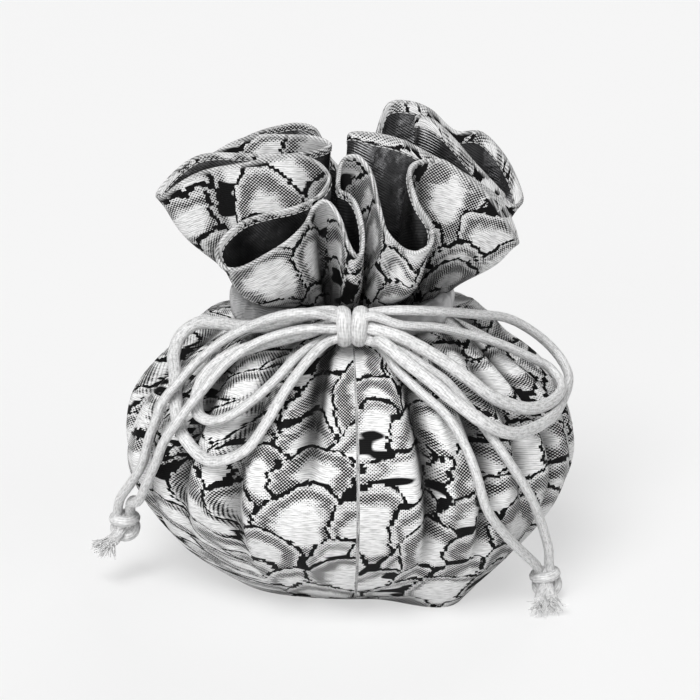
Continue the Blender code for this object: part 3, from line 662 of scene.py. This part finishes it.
class Loft:
    # closed rows of points joined by faces, with their cloth coordinates in mm
    def __init__(self):
        self.points, self.faces, self.uv, self.shade, self.edge = [], [], [], [], []

    def row(self, points, shade=0.0, edge=0.0):
        first = len(self.points)
        self.points += [tuple(p) for p in points]
        self.shade += list(np.broadcast_to(shade, (len(points),)))
        self.edge += [edge] * len(points)
        return first

    def join(self, low, high, lowUv=noCloth, highUv=noCloth):
        (ul, vl), (uh, vh) = lowUv, highUv
        for i in range(count):
            j = (i + 1) % count
            self.faces.append((low + i, low + j, high + j, high + i))
            self.uv += [(ul[i], vl[i]), (ul[i + 1], vl[i + 1]), (uh[i + 1], vh[i + 1]), (uh[i], vh[i])]

    def cap(self, first, height, uv=noCloth.T):
        centre = self.row([(0, 0, height)])
        for i in range(count):
            j = (i + 1) % count
            self.faces.append((first + i, first + j, centre))
            self.uv += [tuple(uv[i]), tuple(uv[j]), (0, 0)]

    def hollow(self, last, depth, bottom, shade=0.0):
        # goes on from a row down the inside of the bag, a depth away from it, and closes the bottom
        for radius, height in insideRows:
            height = height - depth * 0.3 + (depth if height < 5 else 0)
            centre = neckCentre if radius - depth < 20 else np.zeros(2)
            circle = centre + np.stack([np.cos(bodyTurn), np.sin(bodyTurn)], 1) * (radius - depth)
            row = self.row(np.column_stack([circle, np.full(count, height)]), shade)
            self.join(last, row)
            last = row
        self.cap(last, bottom)

    def piece(self, name, material, slot):
        piece = meshPiece(name, self.points, self.faces, material, self.uv, self.shade, self.edge)
        work = bmesh.new()
        work.from_mesh(piece.data)
        bmesh.ops.recalc_face_normals(work, faces=work.faces)
        work.to_mesh(piece.data)
        work.free()
        return piece


def outerCloth():
    loft = Loft()
    heights = [0.0, 0.4, 1.1, 2.2, 3.6] + list(np.linspace(5, 74.6, 64))
    faces = [bodyRow(h) for h in heights]
    faces[0][:, 2] = 0.0
    lengths = [np.zeros(count)]
    for before, after in zip(faces, faces[1:]):
        lengths.append(lengths[-1] + np.linalg.norm(after - before, axis=1))
    # the cloth is measured along each row from the seam at the front, and drawn together in the gathers at the top
    turns = angleFromFront(bodyTurn)
    seam = int(np.argmin(np.abs(turns - cloth["seam"][0])))
    flat = wrap * cloth["bodyRound"]

    def across(face, height):
        width = distances(np.vstack([face, face[:1]]))
        keep = 0.85 * math.exp(-height / 30)
        place = (width - width[seam]) * keep + (flat - flat[seam]) * (1 - keep)
        return np.where(np.arange(count + 1) > seam, place + cloth["seamJump"], place)

    widths = [across(face, height) for face, height in zip(faces, heights)]
    rows = []
    # painted shade: the deeper a pleat's valley, the darker it is painted
    for face, height in zip(faces, heights):
        dip = pleatDepth(turns, height, cloth["bodyRadius"])
        rows.append(loft.row(face, np.clip((dip - 1.0) / 5.0, 0, 1) * 0.7))
    for level in range(len(rows) - 1):
        lowV = np.full(count + 1, lengths[level].mean())
        highV = np.full(count + 1, lengths[level + 1].mean())
        loft.join(rows[level], rows[level + 1], (widths[level], lowV), (widths[level + 1], highV))
    loft.cap(rows[0], 0.0, [(p[0] + 500, p[1]) for p in faces[0]])
    # ruffle, its hem and the strip turned down inside
    roll = cloth["hemRoll"]
    start = belowHem(roll / 2)
    ways = list(np.linspace(0, 1, 44) ** 0.9)
    ruffle = [ruffleFace(start * way, 0.0) for way in ways[:-1]]
    up = unit(ruffleRow(1.0) - ruffleRow(0.96))
    for turn in np.linspace(0, math.pi, 9):
        ruffle.append(ruffleFace(start, roll / 2 * (1 - math.cos(turn))) + up * (roll / 2 * math.sin(turn)))
    for share in (0.3, 0.65, 1.0):
        ruffle.append(ruffleFace(start - hemTurn * share / columnLength, roll))
    ruffle.append(ruffleFace(start - (hemTurn + 0.1) / columnLength, roll - 0.3))
    ruffle.append(ruffleFace(start - 0.2 / columnLength, roll - 0.42))
    ruffle.append(ruffleFace(start - 0.2 / columnLength, 0.5))
    for way in np.linspace(0.95, 0.0, 12):
        ruffle.append(ruffleFace(start * way, 0.5))
    along = [np.zeros(count)]
    for before, after in zip(ruffle, ruffle[1:]):
        along.append(along[-1] + np.linalg.norm(after - before, axis=1))
    neck = rows[-1]
    # painted shade: folds that turn inwards are darker
    plan = ruffleRow(0.6)[:, :2]
    heading = np.unwrap(np.arctan2(*(np.roll(plan, -1, 0) - plan).T[::-1]))
    heading = np.append(heading, heading[0] + 2 * math.pi)
    bend = np.diff(heading)
    for again in range(6):
        bend = (bend + np.roll(bend, 1) + np.roll(bend, -1)) / 3
    hollow = np.clip(-bend * 6.0, 0, 1) * 0.5
    wide = wrap * hemLength * 0.92 + 700
    last = neck
    lastV = np.full(count + 1, -1.5)
    for level, face in enumerate(ruffle):
        way = ways[level] if level < len(ways) - 1 else 1.0
        shade = 0.0
        if level < len(ways):
            # painted shade, darker near the neck and in the folds that turn inwards
            shade = np.clip(0.55 * max(0.0, 1 - way * 1.7) + hollow * min(1.0, 1.6 - way), 0, 0.8)
        row = loft.row(face, shade, 1.0 if 0 < level - len(ways) + 2 < 10 else 0.0)
        nowV = np.append(along[level], along[level][0])
        loft.join(last, row, (wide, lastV), (wide, nowV))
        last, lastV = row, nowV
    loft.hollow(last, 0.0, 2.6)
    return loft.piece("jacquardBag", jacquardCloth, "jacquard")


def innerLining():
    loft = Loft()
    near, far = 0.62, 1.02
    top = belowHem(cloth["hemRoll"] / 2 + 0.5)
    rows = [(ruffleFace(top * way, near), 0.0) for way in np.linspace(0.0, 1.0, 10)]
    # the far face gets painted shade, darker the nearer it is to the neck
    for way in np.linspace(1.0, 0.0, 36):
        rows.append((ruffleFace(top * way, far), 0.95 * max(0.0, 1 - way) ** 0.75))
    starts = [loft.row(face, shade) for face, shade in rows]
    for low, high in zip(starts, starts[1:]):
        loft.join(low, high)
    # the inside of the bag is painted in shade
    loft.hollow(starts[-1], 0.75, 3.6, 0.75)
    # the hidden face, from the neck down beside it
    loft.hollow(starts[0], 0.35, 3.2, 0.75)
    return loft.piece("satinLining", liningSatin, "satin")


bag = outerCloth()
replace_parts(bag, "outer_shell")
liner = innerLining()
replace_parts(liner, "lining")


print("casing")

casing = {
    "gather": 0.22,  # height of its wrinkles by kind, mm
    "twist": 0.25,
    "wrinkle": 0.35,
    "back": 0.8,
    "left": 0.87,  # how far its sides are drawn in
    "right": 0.81,
    "lower": 1.6,  # how far they hang lower than the front, mm
}


def drawnTighter(point):
    # the casing's sides, in mm, drawn in to the neck
    side = casing["left"] if point[0] < 0 else casing["right"]
    return point[0] * side, point[1], point[2] - casing["lower"] * min(1.0, abs(point[0]) / 30)


def neckCasing():
    # the CAD casing's own mesh, joined up, smoothed and given soft gathers
    mesh = nodes["neck_band"].data.copy()
    work = bmesh.new()
    work.from_mesh(mesh)
    bmesh.ops.remove_doubles(work, verts=work.verts, dist=1e-5)
    longEdges = [edge for edge in work.edges if edge.calc_length() > 1.6 * mm]
    bmesh.ops.subdivide_edges(work, edges=longEdges, cuts=1, use_grid_fill=True)
    bmesh.ops.triangulate(work, faces=work.faces)
    work.normal_update()
    for vert in work.verts:
        x, y, z = vert.co / mm
        turn = math.atan2(y + 1.5, x)
        back = min(max((y + 12) / 24, 0), 1)
        gather = math.sin(turn * 61 + 1.6 * math.sin(turn * 9)) * casing["gather"]
        gather += math.sin(turn * 23 + z * 0.5) * casing["twist"]
        gather += casing["wrinkle"] * noise.noise(Vector((x, y, z * 2.2)) * 0.32)
        gather += casing["back"] * back * math.sin(turn * 37 + 1.5 * math.sin(turn * 6) + z * 0.25)
        vert.co += vert.normal * gather * mm * 0.55
        vert.co = Vector(drawnTighter(vert.co / mm)) * mm
    work.to_mesh(mesh)
    work.free()
    mesh.shade_smooth()
    mesh.materials.clear()
    mesh.materials.append(bandSatin)
    mesh.name = "neckCasing"
    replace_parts(addPiece("neckCasing", mesh), "neck_band")


neckCasing()


print("cords")

bowCentre = (0.5, -33.0, 76.5)
leftExit, rightExit = -5.1, 6.1
frontRow, backRow = -35.0, -31.2
upper, middle, lower = 79.8, 76.5, 73.2

strands = {
    "tail_left_1": (
        (leftExit, frontRow, upper), (-10, -37, 81.3), (-17, -36.3, 80.5), (-25, -32.5, 76.8),
        (-33, -30.8, 72), (-39.5, -31, 66.5), (-44.5, -33.5, 61.5), (-48.5, -35.3, 57),
        (-50.5, -35.5, 52), (-52.5, -35, 46.5), (-54.5, -33.5, 39), (-58, -28.5, 32),
        (-61.5, -22.5, 25.5),
    ),
    "tail_left_2": (
        (leftExit, frontRow, middle), (-10.5, -36, 76.8), (-17, -35, 75.3), (-25, -34.5, 72),
        (-32, -36.5, 67.5), (-38, -40.5, 61.5), (-43.4, -44, 55.6), (-47.9, -43.2, 48.6),
        (-50.5, -40, 41.5), (-53.5, -35.5, 34), (-56, -30, 27.5), (-58.7, -23, 24.5),
    ),
    "loop_left_outer": (
        (leftExit, frontRow, lower), (-7.5, -38, 72.4), (-11.5, -42, 69.2), (-16.5, -46.8, 63.5),
        (-21.5, -51.5, 56), (-26.5, -54, 50), (-33.5, -52.5, 46.5), (-38.5, -48, 46.5),
        (-43.3, -42, 50.2), (-45, -36.5, 53.8), (-45.6, -30.5, 57.7), (-46.2, -23.5, 61.2),
        (-46.9, -17.3, 63.8), (-45.4, -12.3, 67.6), (-41, -12.4, 71.2), (-34.8, -18.6, 73.2),
        (-27.5, -26.8, 74.6), (-20.5, -31.2, 76.6), (-12.5, -32.7, 79.3), (leftExit, backRow, upper),
    ),
    "loop_left_inner": (
        (leftExit, backRow, lower), (-8.6, -33.2, 72), (-14, -39.5, 69.8), (-19.5, -44, 65),
        (-25, -46, 60.5), (-30, -46.5, 57), (-35, -45, 54.8), (-39, -41.2, 55.2),
        (-39.6, -37.2, 59), (-37.2, -34, 63.8), (-32, -32.6, 67.9), (-24, -31.6, 71),
        (-16.5, -32.5, 73.3), (-10.5, -32.8, 75), (leftExit, backRow, middle),
    ),
    "loop_right_outer": (
        (rightExit, backRow, upper), (13, -32.9, 80.8), (22.5, -28.7, 79.3), (33, -18, 75.4),
        (42.5, -5, 70.5), (50.5, 1, 64.5), (56.5, 2.5, 58.5), (59.5, -2, 54),
        (58.5, -10.5, 51.8), (54, -25.5, 50), (47.2, -37, 49.8), (41, -45, 51.5),
        (34, -49.8, 56), (26.5, -49, 61.5), (20.5, -46.3, 66), (13.5, -42.3, 70.5),
        (8.5, -39.5, 74), (rightExit, frontRow, lower),
    ),
    "loop_right_inner": (
        (rightExit, frontRow, upper), (13.5, -34.5, 77.2), (22, -29.3, 75.2), (30.5, -24, 71.8),
        (39, -19.5, 68), (48, -14.5, 62.5), (53.8, -12, 58.5), (56.6, -16.5, 54.8),
        (53.2, -25, 53.4), (47.2, -33.2, 54.2), (41, -38, 57), (35.5, -40.5, 60.5),
        (30, -40.5, 65), (21.5, -38.5, 70.5), (13.5, -37.3, 74.6), (rightExit, frontRow, middle),
    ),
    "tail_right_1": (
        (rightExit, backRow, middle), (9.8, -32.9, 74.4), (13.8, -36.6, 70.9), (19, -39.8, 67.9),
        (24.5, -41.2, 64.3), (29.5, -43, 59), (34.5, -45.5, 53), (40.5, -47.5, 45),
        (46.5, -44.8, 34.5), (50, -39.5, 25), (52.5, -35, 16),
    ),
    "tail_right_2": (
        (rightExit, backRow, lower), (8, -32.9, 71.7), (9.8, -36.4, 69.6), (12.5, -41, 66.8), (18.5, -45.8, 62.3),
        (24.5, -49.2, 57.7), (29, -51.8, 51), (32, -54.5, 44), (35, -54, 34),
        (40, -48, 25), (44.5, -41.5, 18), (47.8, -36, 13),
    ),
}

endKnots = {
    "left": {"centre": (-61.0, -18.0, 16.5), "up": (0.0, -0.3, 0.95),
             "frays": ((-65.5, -27.0, 11.5), (-68.0, -23.0, 10.0)), "tails": ("tail_left_2", "tail_left_1")},
    "right": {"centre": (52.5, -30.5, 5.0), "up": (-0.2, -0.25, 0.95),
              "frays": ((48.5, -48.0, 2.3), (54.0, -45.5, 2.3)), "tails": ("tail_right_1", "tail_right_2")},
}


def tubeParts(path, radius, sides, flat=0.0, closed=False, taper=None):
    # points, faces and cloth coordinates of a round tube that follows the path, all in mm
    path = np.asarray(path, float)
    total = len(path)
    ways = np.roll(path, -1, 0) - np.roll(path, 1, 0)
    if not closed:
        ways[0], ways[-1] = path[1] - path[0], path[-1] - path[-2]
    ways = unit(ways)
    normal = np.cross(ways[0], (0.1, 0.2, 1.0))
    frames = []
    for way in ways:
        normal = normal - way * np.dot(normal, way)
        normal /= np.linalg.norm(normal)
        frames.append((normal.copy(), np.cross(way, normal)))
    if closed:
        # spread the leftover turn so that the ring meets itself
        first, last = frames[0], frames[-1]
        gap = math.atan2(np.dot(last[0], first[1]), np.dot(last[0], first[0]))
        turned = []
        for i, (a, b) in enumerate(frames):
            t = -gap * i / total
            turned.append((a * math.cos(t) + b * math.sin(t), b * math.cos(t) - a * math.sin(t)))
        frames = turned
    along = distances(path)
    points, faces, uv = [], [], []
    for i, centre in enumerate(path):
        a, b = frames[i]
        size = radius * (taper[i] if taper is not None else 1.0)
        size *= 1 + 0.03 * noise.noise(Vector(centre) * 0.25)
        for side in range(sides):
            turn = 2 * math.pi * side / sides
            points.append(centre + size * (a * math.cos(turn) * (1 + flat) + b * math.sin(turn) * (1 - flat)))
    last = total if closed else total - 1
    around = 2 * math.pi * radius
    for i in range(last):
        j = (i + 1) % total
        for side in range(sides):
            other = (side + 1) % sides
            faces.append((i * sides + side, i * sides + other, j * sides + other, j * sides + side))
            u0, u1 = around * side / sides, around * (side + 1) / sides
            v0 = along[i]
            v1 = along[j] if j else along[i] + (along[1] - along[0])
            uv += [(u0, v0), (u1, v0), (u1, v1), (u0, v1)]
    if not closed:
        for ring, rowEnd in ((0, False), (total - 1, True)):
            loop = [ring * sides + side for side in range(sides)]
            faces.append(tuple(loop if rowEnd else reversed(loop)))
            uv += [(0, 0)] * sides
    return points, faces, uv


def cordPiece(name, parts):
    points, faces, uv = [], [], []
    for morePoints, moreFaces, moreUv in parts:
        base = len(points)
        points += list(morePoints)
        faces += [tuple(base + i for i in face) for face in moreFaces]
        uv += moreUv
    return meshPiece(name, points, faces, cordBraid, uv)


def knotTop(knot):
    # where the two tails go into a knot
    up = Vector(knot["up"]).normalized()
    side = up.cross(Vector((0, 1, 0))).normalized() * 1.65
    top = Vector(knot["centre"]) + up * 4.9
    return {knot["tails"][0]: (top - side, up, side), knot["tails"][1]: (top + side, up, side)}


tailEnds = {}
for knot in endKnots.values():
    tailEnds.update(knotTop(knot))


def pieceName(node):
    words = node.split("_")
    return words[0] + "".join(word.capitalize() for word in words[1:])


def intoBow(end):
    # a strand's end goes on into the bow's knot
    centre = np.array(bowCentre)
    return end + np.array([np.sign(centre[0] - end[0]) * 3.2, 0, 0]) + (centre - end) * np.array([0, 0.25, 0.3])


cordPieces = {}
for node, route in strands.items():
    route = [np.array(p, float) for p in route]
    path = [intoBow(route[0]), *route]
    if node.startswith("tail"):
        top, up, side = tailEnds[node]
        path += [np.array(top), np.array(top - up * 2.5)]
    else:
        path.append(intoBow(route[-1]))
    path = smoothPath(path, cord["step"])
    piece = cordPiece(pieceName(node), [tubeParts(path, cord["radius"], cord["sides"], cord["flat"])])
    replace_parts(piece, node)
    cordPieces[node] = piece, path


def ring(centre, axis, radius, tube, tilt=0.0, squash=(1.0, 1.0), sides=12, steps=48):
    # a closed wrap of cord about an axis
    axis = Vector(axis).normalized()
    side = axis.cross(Vector((0, 1, 0.01))).normalized()
    other = axis.cross(side)
    path = []
    for step in range(steps):
        t = 2 * math.pi * step / steps
        lean = axis * math.sin(t) * math.tan(tilt) * radius
        across = side * radius * squash[0] * math.cos(t)
        path.append(Vector(centre) + across + other * radius * squash[1] * math.sin(t) + lean)
    return tubeParts([tuple(p) for p in path], tube, sides, 0.12, closed=True)


def bowKnot():
    x, y, z = bowCentre
    parts = [
        ring((x - 2.15, y, z), (1, 0.05, 0.06), 3.35, 1.95, 0.05, (1.12, 0.88)),
        ring((x + 2.15, y, z), (1, -0.05, -0.05), 3.35, 1.95, -0.05, (1.12, 0.88)),
        tubeParts([(x - 4.0, y + 0.3, z - 0.4), (x, y + 0.2, z), (x + 4.0, y + 0.3, z + 0.4)], 2.9, 12),
    ]
    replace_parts(cordPiece("bowKnot", parts), "bow_knot")


bowKnot()

# loose threads at each cut end; lengths in mm, the spread in radians
fray = {"threads": 46, "threadRadius": 0.13, "length": 4.6, "spread": 0.5, "seed": 5, "endRadius": 1.25}


def endKnot(side, knot):
    # two wraps about the tails, one across them, and the two short ends below
    centre, up = Vector(knot["centre"]), Vector(knot["up"]).normalized()
    parts = [
        ring(centre + up * 1.7, up, 2.35, 1.75, math.radians(16)),
        ring(centre - up * 1.6, up, 2.2, 1.75, math.radians(-20)),
        ring(centre, up.cross(Vector((0.4, 1, 0))).normalized(), 2.2, 1.5, 0.3),
        tubeParts([tuple(centre + up * s) for s in (-3.0, -1.0, 1.0, 3.2)], 2.2, 12),
    ]
    tips = []
    for number, tip in enumerate(knot["frays"]):
        way = Vector(tip) - centre
        stubLength = way.length * 0.62
        bend = Vector((0, 0, -1.0 if side == "left" else 0.2)) * (1 if number else 0.4)
        stub = way.normalized() * stubLength
        route = [tuple(centre + stub * t + bend * math.sin(t * 3.0) * 0.8) for t in (0, 0.35, 0.7, 1)]
        path = smoothPath(route, 0.8)
        taper = 1 + 0.12 * np.linspace(0, 1, len(path)) ** 3
        parts.append(tubeParts(path, 1.4, 12, 0.1, taper=taper))
        tips.append((Vector(path[-1]), (Vector(path[-1]) - Vector(path[-3])).normalized()))
    return cordPiece("endKnot" + side.capitalize(), parts), tips


class NodeTree:
    # a Geometry Nodes tree with named inputs, for loose threads and stitches
    def __init__(self, name, inputs):
        self.tree = bpy.data.node_groups.new(name, "GeometryNodeTree")
        self.tree.interface.new_socket("Geometry", in_out="INPUT", socket_type="NodeSocketGeometry")
        self.ids = {}
        for label in inputs:
            kind = "NodeSocketInt" if label == "Seed" else "NodeSocketFloat"
            self.ids[label] = self.tree.interface.new_socket(label, in_out="INPUT", socket_type=kind).identifier
        self.tree.interface.new_socket("Geometry", in_out="OUTPUT", socket_type="NodeSocketGeometry")
        self.start = self.tree.nodes.new("NodeGroupInput")
        self.end = self.tree.nodes.new("NodeGroupOutput")

    def add(self, kind, values=None, **settings):
        node = self.tree.nodes.new(kind)
        for name, value in settings.items():
            setattr(node, name, value)
        for name, value in (values or {}).items():
            if isinstance(value, bpy.types.Node):
                value = value.outputs[0]
            if isinstance(value, bpy.types.NodeSocket):
                self.tree.links.new(value, node.inputs[name])
            else:
                node.inputs[name].default_value = value
        return node

    def maths(self, operation, first, second):
        return self.add("ShaderNodeMath", {0: first, 1: second}, operation=operation)

    def combine(self, x, y, z):
        return self.add("ShaderNodeCombineXYZ", {"X": x, "Y": y, "Z": z})

    def given(self, label):
        return self.start.outputs[label]

    def finish(self, geometry, material):
        real = self.add("GeometryNodeRealizeInstances", {"Geometry": geometry})
        done = self.add("GeometryNodeSetMaterial", {"Geometry": real, "Material": material})
        self.tree.links.new(done.outputs[0], self.end.inputs[0])


def grown(name, base, nodeTree, values):
    # runs the node tree on the base mesh and keeps the result as a plain mesh piece
    modifier = base.modifiers.new("grow", "NODES")
    modifier.node_group = nodeTree.tree
    for label, value in values.items():
        modifier[nodeTree.ids[label]] = value
    bpy.context.view_layer.update()
    graph = bpy.context.evaluated_depsgraph_get()
    mesh = bpy.data.meshes.new_from_object(base.evaluated_get(graph))
    base.modifiers.remove(modifier)
    bpy.data.objects.remove(base)
    mesh.name = name
    mesh.shade_smooth()
    return addPiece(name, mesh)


def frayTree():
    t = NodeTree("frayed threads", ("Threads", "Length", "Radius", "Spread", "Seed"))
    spread, seed = t.given("Spread"), t.given("Seed")
    spots = t.add("GeometryNodeDistributePointsOnFaces",
                  {"Mesh": t.given("Geometry"), "Density": t.given("Threads"), "Seed": seed})
    # one thread, which curls over towards its end
    line = t.add("GeometryNodeCurvePrimitiveLine", {"Direction": (0, 0, 1), "Length": t.given("Length")},
                 mode="DIRECTION")
    fine = t.add("GeometryNodeResampleCurve", {"Curve": line, "Count": 7})
    curl = t.maths("POWER", t.add("GeometryNodeSplineParameter").outputs["Factor"], 2.0)
    offset = t.combine(t.maths("MULTIPLY", curl, 0.0011), 0, 0)
    bent = t.add("GeometryNodeSetPosition", {"Geometry": fine, "Offset": offset})
    section = t.add("GeometryNodeCurvePrimitiveCircle", {"Resolution": 5, "Radius": t.given("Radius")}, mode="RADIUS")
    thread = t.add("GeometryNodeCurveToMesh", {"Curve": bent, "Profile Curve": section, "Fill Caps": True})
    # turned and sized by chance
    less = t.maths("MULTIPLY", spread, -1.0)
    ends = {0: t.combine(less, less, -3.14), 1: t.combine(spread, spread, 3.14), "Seed": seed}
    lean = t.add("FunctionNodeRandomValue", ends, data_type="FLOAT_VECTOR")
    turned = t.add("FunctionNodeRotateRotation", {"Rotation": spots.outputs["Rotation"], "Rotate By": lean},
                   rotation_space="LOCAL")
    size = t.add("FunctionNodeRandomValue", {2: 0.65, 3: 1.1, "Seed": seed}, data_type="FLOAT")
    threads = t.add("GeometryNodeInstanceOnPoints",
                    {"Points": spots, "Instance": thread, "Rotation": turned, "Scale": size.outputs[1]})
    t.finish(threads, frayThread)
    return t


def stitchTree():
    t = NodeTree("row of stitches", ("Pitch", "Length", "Radius"))
    line = t.add("GeometryNodeMeshToCurve", {"Mesh": t.given("Geometry")})
    spots = t.add("GeometryNodeResampleCurve", {"Curve": line, "Length": t.given("Pitch")}, mode="LENGTH")
    turned = t.add("FunctionNodeAlignRotationToVector", {"Vector": t.add("GeometryNodeInputTangent")}, axis="Z")
    bead = t.add("GeometryNodeMeshUVSphere", {"Segments": 6, "Rings": 5, "Radius": t.given("Radius")})
    half = t.maths("MULTIPLY", t.maths("DIVIDE", t.given("Length"), t.given("Radius")), 0.5)
    row = t.add("GeometryNodeInstanceOnPoints",
                {"Points": spots, "Instance": bead, "Rotation": turned, "Scale": t.combine(1, 1, half)})
    t.finish(row, seamThread)
    return t


print("knots and threads")
threadsTree = frayTree()
knotPieces = {}
for side, knot in endKnots.items():
    piece, tips = endKnot(side, knot)
    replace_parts(piece, "end_knot_" + side)
    # the threads grow from an eight-sided disc at each cut end
    discs, faces = [], []
    for place, way in tips:
        a = way.orthogonal().normalized()
        b = way.cross(a)
        faces.append(tuple(range(len(discs), len(discs) + 8)))
        for t in np.linspace(0, 2 * math.pi, 8, endpoint=False):
            discs.append(tuple((place + (a * math.cos(t) + b * math.sin(t)) * fray["endRadius"]) * mm))
    area = 2 * math.pi * (fray["endRadius"] * mm) ** 2 * 0.9
    values = {"Threads": 2 * fray["threads"] / area, "Length": fray["length"] * mm,
              "Radius": fray["threadRadius"] * mm, "Spread": fray["spread"], "Seed": fray["seed"]}
    base = plainObject("frayBase", discs, [], faces)
    loose = grown("frayedEnds" + side.capitalize(), base, threadsTree, values)
    knotPieces[side] = [piece, loose]

stitches = {"Pitch": 1.7, "Length": 1.45, "Radius": 0.17}  # mm


def hemStitches():
    # a row of stitches where the turned hem is sewn down to the lining
    row = ruffleFace(belowHem(cloth["hemRoll"] / 2 + hemTurn + 0.35), 1.16)
    edges = [(i, (i + 1) % count) for i in range(count)]
    base = plainObject("stitchLine", [tuple(p) for p in row * mm], edges, [])
    grown("hemStitches", base, stitchTree(), {name: value * mm for name, value in stitches.items()})


hemStitches()

# for each cord, the knot pieces that go with its first tail; nothing uses them
for node, (piece, path) in cordPieces.items():
    extra = knotPieces["left" if "left" in node else "right"] if node in ("tail_left_1", "tail_right_1") else []

for node in ("neck_cord_upper", "neck_cord_lower"):
    # the middle of the node's own round cord, from its points by their way round the neck
    spots = np.array([tuple(vert.co / mm) for vert in nodes[node].data.vertices])
    turn = (np.arctan2(spots[:, 1] + 1.5, spots[:, 0]) + math.pi / 2) % (2 * math.pi)
    steps = np.linspace(turn.min(), turn.max(), 25)
    middles = []
    for low, high in zip(steps, steps[1:]):
        inside = spots[(turn >= low - 0.12) & (turn <= high + 0.12)]
        middles.append((inside.min(0) + inside.max(0)) / 2 if len(inside) else None)
    middles = [drawnTighter(point) for point in middles if point is not None]
    parts = [tubeParts(smoothPath(middles, 1.2), cord["radius"], 12)]
    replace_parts(cordPiece(pieceName(node), parts), node)


print("studio")


def floor():
    size = studio["floorSize"]
    corners = [(x * size, y * size, -0.0001) for x, y in ((-1, -1), (1, -1), (1, 1), (-1, 1))]
    piece = plainObject("floor", corners, [], [(0, 1, 2, 3)])
    piece.data.materials.append(floorMaterial())


def sun(name, way, strength, softness):
    light = bpy.data.lights.new(name, "SUN")
    light.energy = strength
    light.angle = math.radians(softness)
    addObject(name, light).rotation_euler = (-Vector(way)).to_track_quat("-Z", "Y").to_euler()


def world():
    setting = bpy.data.worlds.new("studio")
    setting.use_nodes = True
    background = setting.node_tree.nodes["Background"]
    background.inputs["Color"].default_value = (1, 1, 1, 1)
    background.inputs["Strength"].default_value = studio["worldLight"]
    bpy.context.scene.world = setting


photo = {
    "lens": 128.57,  # mm on a sensor 36 mm wide
    "elevation": 17,  # degrees
    "distance": 0.7,  # m
    "aim": 57.4,  # mm from the frame's origin to the picture's middle
}


def camera():
    lens = bpy.data.cameras.new("camera")
    lens.lens = photo["lens"]
    lens.sensor_width = 36
    lens.clip_end = 60
    view = addObject("camera", lens)
    tilt = math.radians(photo["elevation"])
    target = Vector((0, math.sin(tilt), math.cos(tilt))) * photo["aim"] * mm
    back = Vector((0, -math.cos(tilt), math.sin(tilt)))
    view.location = target + back * photo["distance"]
    view.rotation_euler = (math.radians(90) - tilt, 0, 0)
    bpy.context.scene.camera = view


floor()
world()
camera()
for light in studio["lights"]:
    sun(*light)
bpy.context.scene.view_settings.view_transform = "Standard"
